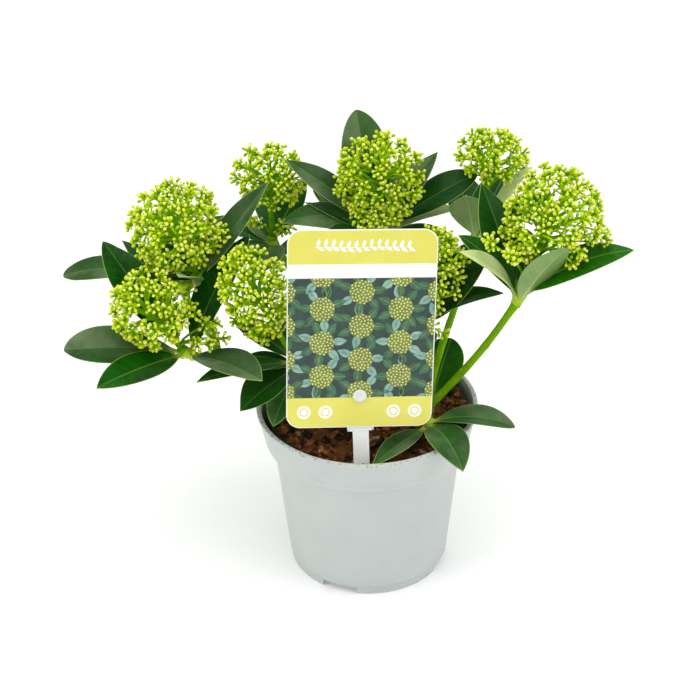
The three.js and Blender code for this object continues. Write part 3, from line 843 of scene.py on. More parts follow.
@dataclass
class Stems:
    """Trunks, boughs and shoot stems, with swollen joints, leaf scars and fine relief.

    A stem swells by so much over so many millimetres at the leaves, at each joint and at each scar.
    """

    below: float = 15.0
    overlap: float = 1.4
    bare_tip: float = 3.0
    shoot_tip: float = 2.8
    low_foot: float = 2.4
    inset: float = 0.99
    step: float = 1.1
    joint_every: float = 21.0
    crown: tuple[float, float] = (0.7, 3.4)
    joint: tuple[float, float] = (0.12, 2.0)
    scar: tuple[float, float] = (0.22, 1.1)
    scar_turn: float = 0.5
    sides: int = 18
    uneven: float = 0.035
    curves: dict[str, Bezier] = field(default_factory=dict)
    feet: dict[str, tuple[np.ndarray, np.ndarray]] = field(default_factory=dict)

    def grow(self) -> None:
        """Work out each limb's curve, and where and in which direction each shoot starts."""
        for name, limb in LIMBS.items():
            start = self.curves[limb.parent].at(limb.share) if limb.parent else np.array(limb.foot, float)
            shoot = SHOOTS.get(limb.shoot)
            end = np.array(shoot.at if shoot else limb.tip, float)
            heading = math.degrees(math.atan2(end[1] - start[1], end[0] - start[0]))
            leaving = pointing(heading, limb.rise) if limb.parent else UP
            way = unit(end - start)
            arriving = unit(way + ((shoot.axis() if shoot else leaving) - way) * 0.3)
            if shoot:
                end = end - arriving * self.below
                self.feet[limb.shoot] = (end + arriving * GAP, arriving)
            self.curves[name] = Bezier(start, leaving, end, arriving)
        for name, shoot in SHOOTS.items():
            if shoot.foot:
                foot = np.array(shoot.foot, float)
                self.feet[name] = (foot, unit(np.array(shoot.at) - foot))

    def skin(self, build: Build, curve: Bezier, ends: tuple[float, float], look: Look, seed: int,
             flare: float = 0.0, knot: float = 0.0) -> None:
        """One stem, with a joint and a leaf scar at steady distances.

        Args:
            build: The piece.
            curve: The stem's curve.
            ends: The radius at its start and at its end.
            look: The bark's finish.
            seed: The stem's number.
            flare: What the foot adds to the radius.
            knot: How far along it the leaves join, or 0 where it has none.
        """
        rough = curve.at(np.linspace(0, 1, 60))
        length = float(np.linalg.norm(np.diff(rough, axis=0), axis=1).sum())
        shares = np.linspace(0, 1, max(8, int(length / self.step)))
        path, run, turns = curve.at(shares), shares * length, round_turns(self.sides)
        radii = lerp(ends[0], ends[1], shares) + flare * np.maximum(0, 1 - shares * 6) ** 2
        wide = np.repeat(radii[:, None], self.sides, 1)
        looks = np.full((len(path) - 1, self.sides), build.looks.index(look))
        if knot:
            near = bell(run - knot, self.crown[1])
            wide += near[:, None] * self.crown[0]
            looks[near[:-1] > 0.45] = build.looks.index(Look.NODE)
        for k in range(int((length - knot) / self.joint_every)):
            spot = (k + 0.55 + 0.25 * jitter(seed, k)) * self.joint_every
            wide += bell(run - spot, self.joint[1])[:, None] * self.joint[0]
            turn = math.radians(GOLDEN * (k + seed))
            off = np.abs((turns - turn + math.pi) % (2 * math.pi) - math.pi)
            scar = bell(run - spot, self.scar[1])[:, None] * bell(off, self.scar_turn)[None, :]
            wide += scar * self.scar[0]
            looks[scar[:-1] > 0.72] = build.looks.index(Look.SCAR)
        rings = tube(path, wide, self.sides)
        relief = np.array([noise.noise(Vector(p) * 0.55) for p in rings.reshape(-1, 3)])
        rings += (rings - path[:, None]) * (relief.reshape(len(path), -1) * self.uneven)[..., None]
        build.rings(rings, looks.reshape(-1).tolist())

    def fork(self, build: Build) -> None:
        """Round off the low trunk where its boughs part.

        Args:
            build: The trunks.
        """
        trunk = LIMBS["right_trunk"]
        ball = bmesh.new()
        bmesh.ops.create_icosphere(ball, subdivisions=3, radius=trunk.end * self.inset)
        points = np.array([v.co for v in ball.verts]) + np.array(trunk.tip)
        build.add(points, [[v.index for v in f.verts] for f in ball.faces], Look.BARK)
        ball.free()

    def shoots(self) -> Build:
        """The stems that carry the leaves and the flower heads.

        Returns:
            The piece, before its mesh is made.
        """
        build = Build([Look.STEM, Look.SCAR, Look.NODE])
        bases = {limb.shoot: limb.end for limb in LIMBS.values()}
        for number, (name, shoot) in enumerate(SHOOTS.items()):
            foot, leaving = self.feet[name]
            at, axis = np.array(shoot.at), shoot.axis()
            tip = at + axis * (NECK if shoot.head else self.bare_tip)
            curve = Bezier(foot - leaving * (0.0 if shoot.foot else self.overlap), leaving, tip, axis)
            base = bases.get(name, self.low_foot) * self.inset
            knot = float(np.linalg.norm(at - foot))
            self.skin(build, curve, (base, self.shoot_tip), Look.STEM, number + 40, knot=knot)
        return build

    def make(self) -> None:
        """Build the stems: woody trunks, green boughs, and the shoots that carry the leaves."""
        trunks, boughs = Build([Look.BARK, Look.SCAR]), Build([Look.STEM, Look.SCAR])
        for number, (name, limb) in enumerate(LIMBS.items()):
            look, build = (Look.STEM, boughs) if limb.parent else (Look.BARK, trunks)
            self.skin(build, self.curves[name], (limb.base, limb.end), look, number, limb.flare)
        self.fork(trunks)
        settle(trunks.object("trunk_bark"), "bark", "trunk", "right_trunk")
        settle(boughs.object("bough_bark"), "stem", *(name for name, limb in LIMBS.items() if limb.parent))
        settle(self.shoots().object("shoot_stems"), "leaf", *(f"{name}_leaves" for name in SHOOTS))


@dataclass
class Blade:
    """The shape of one leaf: a channelled stalk, and a folded blade with a sunk midrib and a thin edge.

    What is worked out for its rows stands in columns: the shares of its length, half its width, how far it
    belongs to the stalk's swollen foot, and its points' distances from the midline. The painted sheen is
    given as the mean of the two halves' tenths of painted sheen, and half of what sets them apart.
    """

    leaf: Leaf
    seed: int
    bloomed: bool
    stalk: float = 0.075
    stalk_half: float = 1.45
    foot_at: float = 1.6
    foot_long: float = 2.6
    foot_half: float = 0.9
    foot_keel: float = 2.3
    belly: float = 0.95
    tip_half: float = 0.12
    fold: float = 16.0
    crease: float = 1.4
    twist: float = 12.0
    droop: float = 0.08
    wave: float = 0.75
    wave_long: float = 13.0
    quilt: float = 0.09
    groove: float = 0.22
    groove_half: float = 0.55
    keel: float = 0.95
    thick: float = 0.55
    stalk_rows: int = 6
    blade_rows: int = 42
    vein_every: float = 6.5
    vein_lean: float = 0.75
    # Tenths of painted sheen, for a leaf with a strong one and for one with a faint one: the mean and half
    # the gap between its halves.
    bloom: tuple[float, float] = (6.2, 2.6)
    clean: tuple[float, float] = (0.6, 0.6)

    def __post_init__(self) -> None:
        """Set the rows out along the leaf, closer towards its tip."""
        out = np.sin(np.linspace(0, 1.5, self.blade_rows)) / math.sin(1.5)
        stalk = np.linspace(0, self.stalk, self.stalk_rows, endpoint=False)
        self.shares = np.concatenate([stalk, lerp(self.stalk, 1, out)])[:, None]
        self.foot = bell(self.shares * self.leaf.length - self.foot_at, self.foot_long)
        self.half = self.widths()
        self.across = self.spread()

    def widths(self) -> np.ndarray:
        """Half the leaf's width at each row.

        Returns:
            The column.
        """
        taper = self.leaf.taper + 0.1 * jitter(self.seed, 6)
        share = np.clip((self.shares - self.stalk) / (1 - self.stalk), 0, 1)
        widest = self.belly / (self.belly + taper)
        blade = share**self.belly * (1 - share) ** taper / (widest**self.belly * (1 - widest) ** taper)
        stalk = self.stalk_half * (1 - self.shares) ** 2 + self.foot_half * self.foot
        half = (stalk**3 + (self.leaf.width / 2 * blade) ** 3) ** (1 / 3)
        half[-1] = self.tip_half
        return half

    def spread(self) -> np.ndarray:
        """How far from the midline the points of each row lie, from the left edge to the right.

        Returns:
            The distances.
        """
        rib = np.minimum(0.5 * (1 - 0.65 * self.shares), 0.3 * self.half)
        edge = np.minimum(0.34, 0.22 * self.half)
        right = np.concatenate([*[rib + (self.half - edge - rib) * k / 4 for k in range(5)], self.half], 1)
        return np.concatenate([-right[:, ::-1], np.zeros_like(rib), right], 1)

    def veins(self, across: np.ndarray) -> np.ndarray:
        """The count of side veins up to points of each row, since the veins lean towards the tip."""
        return (self.shares * self.leaf.length - self.vein_lean * np.abs(across)) / self.vein_every

    def heights(self) -> tuple[np.ndarray, np.ndarray]:
        """How high the two faces stand above the midline's plane.

        Returns:
            The heights of the top and of the underside.
        """
        shares, across, seed = self.shares, self.across, self.seed
        out = np.abs(across) / self.half
        body = np.clip((shares - self.stalk) / 0.12, 0, 1) * np.clip((1 - shares) / 0.08, 0, 1)
        fold = math.sin(math.radians(self.fold + 5 * jitter(seed, 8)))
        bend = fold * (np.sqrt(across**2 + self.crease**2) - self.crease)
        bend -= (self.droop + 0.05 * jitter(seed, 9)) * self.half * out**4 * body
        phase = shares * self.leaf.length / (self.wave_long + 3 * jitter(seed, 10))
        phase = phase + 3 * jitter(seed, 2) + np.sign(across) * 1.1
        bend += body * out**2 * (self.wave + 0.4 * jitter(seed, 11)) * np.sin(phase) * (self.leaf.width / 23)
        veins = np.clip(np.cos(2 * math.pi * self.veins(across)), -0.2, 1)
        quilt = -self.quilt * body * veins * np.clip(out * 6, 0, 1) * (1 - out**3)
        groove = -self.groove * bell(across, self.groove_half) * (1 - shares * 0.6)
        keel = self.keel * (1 - shares) ** 1.4 + 0.12 + self.foot_keel * self.foot
        keel = keel * bell(across, 0.75 + 0.5 * self.half / 11)
        edge = np.sqrt(np.clip(1 - (out * 0.985) ** 8, 0, 1))
        top = bend + quilt + groove * body + (self.thick / 2 + self.foot_half * self.foot) * edge
        return top, bend + quilt * 0.8 - self.thick / 2 * edge - keel * np.where(self.half > 0.3, 1, 0.1)

    def marks(self, across: np.ndarray) -> np.ndarray:
        """What the leaf's finish reads at its points.

        Args:
            across: The points' distances from the midline.

        Returns:
            The four marks of each point.
        """
        mean, apart = self.bloom if self.bloomed else self.clean
        apart = math.copysign(apart, jitter(self.seed, 20))
        halves = np.clip(np.round(np.array([apart, 0.0, -apart]) + mean), 0, 10)
        code = 100 * np.choose(1 + np.sign(across).astype(int), halves) + 5
        return np.stack([np.abs(across), self.half - np.abs(across), self.shares + 0 * across,
                         self.veins(across) + code], -1)

    def sections(self, base: np.ndarray) -> tuple[np.ndarray, np.ndarray]:
        """The leaf's cross-sections.

        Args:
            base: Where the leaf starts.

        Returns:
            The rings, and the marks of their points.
        """
        shares = self.shares[:, 0]
        spots, along = self.leaf.spine(base, shares), self.leaf.ways(shares)
        turn = math.radians(self.leaf.heading)
        level = np.array([-math.sin(turn), math.cos(turn), 0.0])
        roll = np.radians(self.leaf.roll + self.twist * jitter(self.seed, 1) * (shares - 0.5))[:, None]
        side = level * np.cos(roll) + np.cross(along, level) * np.sin(roll)
        up = np.cross(along, side)
        top, low = self.heights()
        heights = np.concatenate([top, low[:, -2:0:-1]], 1)
        across = np.concatenate([self.across, self.across[:, -2:0:-1]], 1)
        rings = spots[:, None] + side[:, None] * across[..., None] + up[:, None] * heights[..., None]
        return rings, self.marks(across)


@dataclass
class Foliage:
    """The leaves, in the colours that each shoot's letters give, with a paler underside."""

    spacing: float = 1.4
    middle: float = 5.0
    tones: dict[Tone, Look] = field(
        default_factory=lambda: {
            Tone.DARK: Look.LEAF_DARK,
            Tone.GREEN: Look.LEAF_GREEN,
            Tone.FRESH: Look.LEAF_FRESH,
            Tone.PALE: Look.LEAF_PALE,
        }
    )

    def add(self, build: Build, base: np.ndarray, leaf: Leaf, letter: str, seed: int) -> None:
        """Add one leaf to a piece.

        Args:
            build: The piece.
            base: Where the leaf starts.
            leaf: The leaf.
            letter: Its colour's letter, a capital where it has a strong painted sheen.
            seed: The leaf's number.
        """
        rings, marks = Blade(leaf, seed, letter.isupper()).sections(base)
        top, under = build.looks.index(self.tones[Tone(letter.lower())]), build.looks.index(Look.UNDER)
        count = rings.shape[1] // 2
        build.rings(rings, ([top] * count + [under] * count) * (len(rings) - 1))
        build.marks.append(marks.reshape(-1, 4))

    def make(self) -> list[bpy.types.Object]:
        """Build all the leaves, the left-hand shoots and the right-hand ones apart.

        Returns:
            The pieces.
        """
        pieces = []
        for name, left in (("leaves_left", True), ("leaves_right", False)):
            build = Build([*self.tones.values(), Look.UNDER])
            chosen = [key for key, shoot in SHOOTS.items() if (shoot.at[0] < self.middle) == left]
            for key in chosen:
                shoot = SHOOTS[key]
                for i, leaf in enumerate(shoot.leaves):
                    base = np.array(shoot.at) - shoot.axis() * self.spacing * (i % 4)
                    self.add(build, base, leaf, shoot.tones[i], i + 17 * len(key))
            pieces.append(build.object(name))
            settle(pieces[-1], "leaf", *(f"{key}_leaves" for key in chosen))
        return pieces


@dataclass(frozen=True)
class Spot:
    """Where a small shape stands: its place, direction, size on its own axes and finish's number."""

    place: np.ndarray
    way: np.ndarray
    size: tuple[float, float, float]
    tone: int


@dataclass
class Scatter:
    """Nodes that stand a small shape on every point of a mesh, turned and sized by what the point says."""

    name: str
    tones: tuple[Look, ...]
    tip: Look | None = None
    seed: int = 1

    def tree(self) -> bpy.types.NodeTree:
        """The node tree, with the shape, the spin's seed and an overall size as its inputs.

        Returns:
            The tree.
        """
        tree = bpy.data.node_groups.new(self.name, "GeometryNodeTree")
        for title, way, kind in (("Points", "INPUT", "Geometry"), ("Shape", "INPUT", "Object"),
                                 ("Seed", "INPUT", "Int"), ("Size", "INPUT", "Float"),
                                 ("Piece", "OUTPUT", "Geometry")):
            tree.interface.new_socket(title, in_out=way, socket_type=f"NodeSocket{kind}")

        def add(kind: str, settings: dict[str, object], inputs: dict[str | int, object],
                output: int | str = 0) -> bpy.types.NodeSocket:
            """A new node.

            Args:
                kind: The node's type.
                settings: Its own settings.
                inputs: A socket to link or a constant, by the input's name or number.
                output: The output's number or name.

            Returns:
                The node's output.
            """
            node = tree.nodes.new(kind)
            for key, value in settings.items():
                setattr(node, key, value)
            for key, value in inputs.items():
                if isinstance(value, bpy.types.NodeSocket):
                    tree.links.new(value, node.inputs[key])
                else:
                    node.inputs[key].default_value = value
            return node.outputs[output]

        def carried(kind: str, name: str) -> bpy.types.NodeSocket:
            """A value that the points carry."""
            return add("GeometryNodeInputNamedAttribute", {"data_type": kind}, {"Name": name}, "Attribute")

        start = tree.nodes.new("NodeGroupInput").outputs
        spin = add("FunctionNodeRandomValue", {"data_type": "FLOAT"},
                   {"Seed": start["Seed"], 2: 0.0, 3: 2 * math.pi}, 1)
        own = add("FunctionNodeEulerToRotation", {}, {"Euler": add("ShaderNodeCombineXYZ", {}, {"Z": spin})})
        facing = add("FunctionNodeAlignRotationToVector", {"axis": "Z"},
                     {"Vector": carried("FLOAT_VECTOR", "way")})
        turned = add("FunctionNodeRotateRotation", {"rotation_space": "LOCAL"},
                     {"Rotation": facing, "Rotate By": own})
        scale = add("ShaderNodeVectorMath", {"operation": "SCALE"},
                    {"Vector": carried("FLOAT_VECTOR", "size"), "Scale": start["Size"]})
        shape = add("GeometryNodeObjectInfo", {"transform_space": "ORIGINAL"}, {"Object": start["Shape"]},
                    "Geometry")
        stood = add("GeometryNodeInstanceOnPoints", {},
                    {"Points": start["Points"], "Instance": shape, "Rotation": turned, "Scale": scale})
        made = add("GeometryNodeRealizeInstances", {}, {"Geometry": stood})
        tone, equal = carried("INT", "tone"), {"data_type": "INT", "operation": "EQUAL"}
        shares = [(add("FunctionNodeCompare", equal, {2: tone, 3: number}), look)
                  for number, look in enumerate(self.tones)]
        if self.tip:
            shares.append((carried("BOOLEAN", "tip"), self.tip))
        for chosen, look in shares:
            made = add("GeometryNodeSetMaterial", {},
                       {"Geometry": made, "Selection": chosen, "Material": look.material()})
        tree.links.new(made, tree.nodes.new("NodeGroupOutput").inputs[0])
        return tree

    def make(self, name: str, shape: bpy.types.Object, spots: list[Spot], smooth: bool = True
             ) -> bpy.types.Object:
        """Stand the shape on the spots.

        Args:
            name: The piece's name.
            shape: The small shape, in metres, with +Z out.
            spots: Where it stands.
            smooth: Whether the faces are shaded smooth.

        Returns:
            The piece.
        """
        mesh = bpy.data.meshes.new(name)
        mesh.from_pydata(((np.array([spot.place for spot in spots]) + POT_MIDDLE) * MM).tolist(), [], [])
        for key, kind, slot, values in (("way", "FLOAT_VECTOR", "vector", [spot.way for spot in spots]),
                                        ("size", "FLOAT_VECTOR", "vector", [spot.size for spot in spots]),
                                        ("tone", "INT", "value", [spot.tone for spot in spots])):
            mesh.attributes.new(key, kind, "POINT").data.foreach_set(slot, np.array(values).ravel())
        piece = placed(name, mesh)
        nodes = piece.modifiers.new("Scatter", "NODES")
        nodes.node_group = self.tree()
        inputs = {item.name: item.identifier for item in nodes.node_group.interface.items_tree}
        nodes[inputs["Shape"]], nodes[inputs["Seed"]], nodes[inputs["Size"]] = shape, self.seed, 1.0
        applied(piece)
        for key in ("way", "size", "tone", "tip"):
            if key in piece.data.attributes:
                piece.data.attributes.remove(piece.data.attributes[key])
        piece.data.polygons.foreach_set("use_smooth", [smooth] * len(piece.data.polygons))
        bpy.data.objects.remove(shape)
        return piece


def seed_shape(name: str, points: np.ndarray, faces: list[list[int]], tip: list[bool] | None = None
               ) -> bpy.types.Object:
    """A small shape that a scatter copies.

    Args:
        name: The shape's name.
        points: Its points in millimetres.
        faces: Its faces.
        tip: Whether each face belongs to its tip.

    Returns:
        The object in metres, which the scatter removes.
    """
    mesh = bpy.data.meshes.new(name)
    mesh.from_pydata((np.asarray(points).reshape(-1, 3) * MM).tolist(), [], faces)
    if tip:
        mesh.attributes.new("tip", "BOOLEAN", "FACE").data.foreach_set("value", tip)
    return placed(name, mesh)


@dataclass
class Fork:
    """A twig that stalks leave near its end, how far out their buds reach, and how many have left."""

    start: np.ndarray
    end: np.ndarray
    reach: float = 1.0
    stalks: int = 0

    def leave(self) -> np.ndarray:
        """Where the next stalk leaves the twig, further back each time."""
        self.stalks += 1
        return self.end + (self.start - self.end) * 0.13 * (self.stalks - 0.5)


@dataclass
class Flowers:
    """Flower heads in bud: an axis, branches to forks in a dome, stalks to clusters, and buds on them.

    The walls are the leaves and the label, which twigs and buds stay clear of.
    """

    walls: BVHTree
    cluster_share: float = 50.0
    clusters_on_fork: float = 4.3
    fork_at: float = 0.6
    lowest: float = 148.0
    cluster_depth: float = 3.0
    knot_before: float = 3.2
    axis_radii: tuple[float, float] = (1.8, 1.2)
    branch_radii: tuple[float, float] = (1.2, 0.85)
    spray_radii: tuple[float, float] = (0.85, 0.55)
    stalk_radii: tuple[float, float] = (0.75, 0.6)
    bud: float = 0.98
    bud_stalk: float = 3.9
    bud_stalk_radius: float = 0.5
    buds_at_end: int = 7
    buds_on_stalk: int = 2
    ends_on_spray: int = 3
    spray_reach: float = 4.6
    sides: tuple[tuple[str, float, float], ...] = (
        ("left", -math.inf, -90.0), ("middle", -90.0, 25.0), ("right", 25.0, math.inf))
    twigs: Build = field(default_factory=lambda: Build([Look.TWIG, Look.TWIG_PALE]))
    stalks: list[Spot] = field(default_factory=list)

    def spiral(self, count: int) -> list[tuple[float, float]]:
        """Places spread evenly over a dome, as an angle off the axis and a turn round it.

        Args:
            count: How many places.

        Returns:
            The places.
        """
        low = 1 - math.cos(math.radians(self.lowest))
        return [(math.degrees(math.acos(1 - (i + 0.5) / count * low)), i * GOLDEN + 14 * jitter(i, count))
                for i in range(count)]

    def on_dome(self, head: Head, axes: np.ndarray, place: tuple[float, float], share: float) -> np.ndarray:
        """A place on a share of a head's dome.

        Args:
            head: The head.
            axes: Its side, across and axis directions.
            place: The angle off the axis and the turn.
            share: The share of the dome's size.

        Returns:
            The place.
        """
        off, turn = map(math.radians, place)
        out = share * head.width * math.sin(off) / 2
        local = [out * math.cos(turn), out * math.sin(turn), share * head.height * math.cos(off) / 2]
        return np.array(head.top) + np.array(local) @ axes

    def twig(self, start: np.ndarray, leaving: np.ndarray, end: np.ndarray, radii: tuple[float, float],
             look: Look = Look.TWIG, sides: int = 6) -> np.ndarray:
        """A curved twig.

        Args:
            start: Where it starts.
            leaving: The direction that it leaves in.
            end: Where it ends.
            radii: The radius at its start and end.
            look: Its finish.
            sides: Its sides.

        Returns:
            The direction that it arrives in.
        """
        way = unit(end - start)
        curve = Bezier(start, unit(way + leaving * 0.8), end, unit(way - leaving * 0.25))
        path = curve.at(np.linspace(0, 1, 5))
        self.twigs.rings(tube(path, np.linspace(*radii, 5), sides), look)
        return unit(path[-1] - path[-2])

    def blocked(self, start: np.ndarray, end: np.ndarray) -> bool:
        """Whether a twig from start to end would run through a leaf or the label."""
        way = Vector(end - start)
        return self.walls.ray_cast(Vector(start), way.normalized(), way.length + 1.5)[0] is not None

    def cluster(self, start: np.ndarray, knot: np.ndarray, arriving: np.ndarray, count: int, seed: int,
                number: int) -> list[tuple[np.ndarray, np.ndarray, float]]:
        """The buds of one stalk: most in a tuft at its end, and a few along it.

        Args:
            start: Where the stalk starts.
            knot: Where it ends.
            arriving: The direction that it arrives in.
            count: How many buds the tuft has.
            seed: The head's number.
            number: The stalk's number.

        Returns:
            The root of each bud's own stalk, its direction and its length.
        """
        across = unit(np.cross(arriving, [0.31, 0.2, 0.93]))
        other = np.cross(arriving, across)
        buds = []
        for k in range(count + self.buds_on_stalk):
            off = 80 * math.sqrt((k + 0.2) / count) if k < count else 58 + 12 * jitter(seed + k, number)
            root = knot if k < count else lerp(start, knot, 0.35 + 0.3 * (k - count))
            lean, turn = math.radians(off), math.radians(GOLDEN * k + 40 * jitter(number, seed))
            out = across * math.cos(turn) + other * math.sin(turn)
            out = arriving * math.cos(lean) + out * math.sin(lean)
            buds.append((root, out, self.bud_stalk + 0.9 * jitter(k + 3, number + seed)))
        return buds

    def branches(self, shoot: Shoot, seed: int) -> list[tuple[Fork, np.ndarray]]:
        """The axis and the branches of one flower head.

        Args:
            shoot: The shoot that carries it.
            seed: The head's number.

        Returns:
            The twig that each cluster's stalk leaves and where the stalk ends, the dome's clusters first.
        """
        head, axis = shoot.head, shoot.axis()
        side = unit(np.cross([1.0, 0, 0], axis))
        axes = np.array([side, np.cross(axis, side), axis])
        top, foot = np.array(head.top), np.array(shoot.at) + axis * (NECK - 0.6)
        tip = top + axis * head.height * 0.2
        self.twigs.rings(tube(np.linspace(foot, tip, 8), np.linspace(*self.axis_radii, 8), 10), Look.TWIG)
        clusters = self.clusters(head)
        forks = []
        for place in self.spiral(round(clusters / self.clusters_on_fork)):
            end = self.on_dome(head, axes, place, self.fork_at)
            start = foot + (tip - foot) * lerp(0.92, 0.3, place[0] / self.lowest)
            if not self.blocked(start, end):
                self.twig(start, axis, end, self.branch_radii)
                forks.append(Fork(start, end, 0.98 + 0.035 * jitter(len(forks), seed + 3)))
        reach = 1 - 1.6 * self.cluster_depth / head.width
        ends = []
        for i, place in enumerate(self.spiral(clusters)):
            at = self.on_dome(head, axes, place, reach - 0.04 * (1 + jitter(i, 3)))
            fork = min(forks, key=lambda f: float(np.linalg.norm(f.end - at)))
            ends.append((fork, top + (at - top) * fork.reach))
        for spot in map(np.array, shoot.sprays):
            low = foot + (tip - foot) * min(0.8, max(0.04, float((spot - foot) @ axis) / head.height - 0.25))
            self.twig(low, axis, spot, self.spray_radii)
            for k in range(self.ends_on_spray):
                way = pointing(120 * k + 50 * jitter(k, seed), 40 * jitter(seed, k)) + unit(spot - low)
                ends.append((Fork(low, spot), spot + self.spray_reach * way))
        return ends

    def clusters(self, head: Head) -> int:
        """How many clusters the dome of a head has."""
        return round(head.width * head.height / self.cluster_share)

    def grow(self, shoot: Shoot, seed: int, buds: list[Spot]) -> None:
        """One flower head.

        Args:
            shoot: The shoot that carries it.
            seed: The head's number.
            buds: What its buds are added to.
        """
        grown = 0
        for i, (fork, at) in enumerate(self.branches(shoot, seed)):
            start = fork.leave()
            if self.blocked(start, at):
                continue
            knot = at - unit(at - start) * self.knot_before
            leaving = unit(fork.end - fork.start)
            arriving = self.twig(start, leaving, knot, self.stalk_radii, Look.TWIG_PALE, 5)
            count = self.buds_at_end - (2 if i >= self.clusters(shoot.head) else 0)
            for root, out, length in self.cluster(start, knot, arriving, count, seed, i):
                spot = root + out * length
                if self.walls.find_nearest(Vector(spot), self.bud + 0.3)[0] is not None:
                    continue
                size = self.bud * (1 + 0.14 * jitter(grown, seed + 5))
                tone = int(2.99 * (0.5 + 0.5 * jitter(len(buds), 9)))
                buds.append(Spot(spot, out, (size, size, size * 1.04), tone))
                thin, long = self.bud_stalk_radius, length - size * 0.7
                tone = 0 if jitter(len(self.stalks), 4) < 0.2 else 1
                self.stalks.append(Spot(spot - out * length, out, (thin, thin, long), tone))
                grown += 1

    def bud_shape(self) -> bpy.types.Object:
        """A closed bud about 1 mm in radius: club-shaped, with four blunt lobes that meet at its marked tip.

        Returns:
            The shape.
        """
        sides = 8
        rows = ((-1.0, 0.42, 0.0), (-0.55, 0.84, 0.0), (0.1, 1.0, 0.03), (0.66, 0.86, 0.07),
                (0.95, 0.58, 0.08))
        points = []
        for height, radius, dent in rows:
            for k, turn in enumerate(round_turns(sides)):
                out = radius * (1 - dent * (k % 2))
                points.append([out * math.cos(turn), out * math.sin(turn), height])
        last = (len(rows) - 1) * sides
        faces = ring_faces(len(rows), sides)
        tip = [[last + k, last + (k + 1) % sides, last + sides] for k in range(sides)]
        marked = [n >= last for n in range(len(faces) + sides)]
        faces += [*tip, list(range(sides))[::-1]]
        return seed_shape("bud_shape", [*points, [0.0, 0.0, 1.1]], faces, [*marked, False])

    def stalk_shape(self) -> bpy.types.Object:
        """A stalk of length 1 mm and radius 1 mm that widens under its bud.

        Returns:
            The shape.
        """
        heights, radii, sides = (0.0, 0.7, 1.0), (1.0, 0.9, 1.6), 5
        rings = tube(np.array([[0, 0, z] for z in heights], float), np.array(radii), sides)
        return seed_shape("stalk_shape", rings, ring_faces(3, sides) + ring_caps(3, sides))

    def make(self) -> None:
        """Build every flower head: twigs in one piece, bud stalks in one, and buds in three."""
        heads = [(key, shoot, i + 1) for i, (key, shoot) in enumerate(SHOOTS.items()) if shoot.head]
        tones = (Look.BUD_CREAM, Look.BUD_YELLOW, Look.BUD_GREEN)
        for side, low, high in self.sides:
            chosen = [row for row in heads if low <= row[1].at[0] < high]
            buds = []
            for key, shoot, number in chosen:
                self.grow(shoot, number, buds)
            scatter = Scatter(f"bud_scatter_{side}", tones, Look.BLUSH)
            piece = scatter.make(f"buds_{side}", self.bud_shape(), buds)
            settle(piece, "flower", *(f"{key}_flowers" for key, *_ in chosen))
        nodes = [f"{key}_flowers" for key, *_ in heads]
        stalks = Scatter("stalk_scatter", (Look.TWIG, Look.TWIG_PALE))
        settle(stalks.make("bud_stalks", self.stalk_shape(), self.stalks), "flower", *nodes)
        settle(self.twigs.object("flower_twigs"), "flower", *nodes)


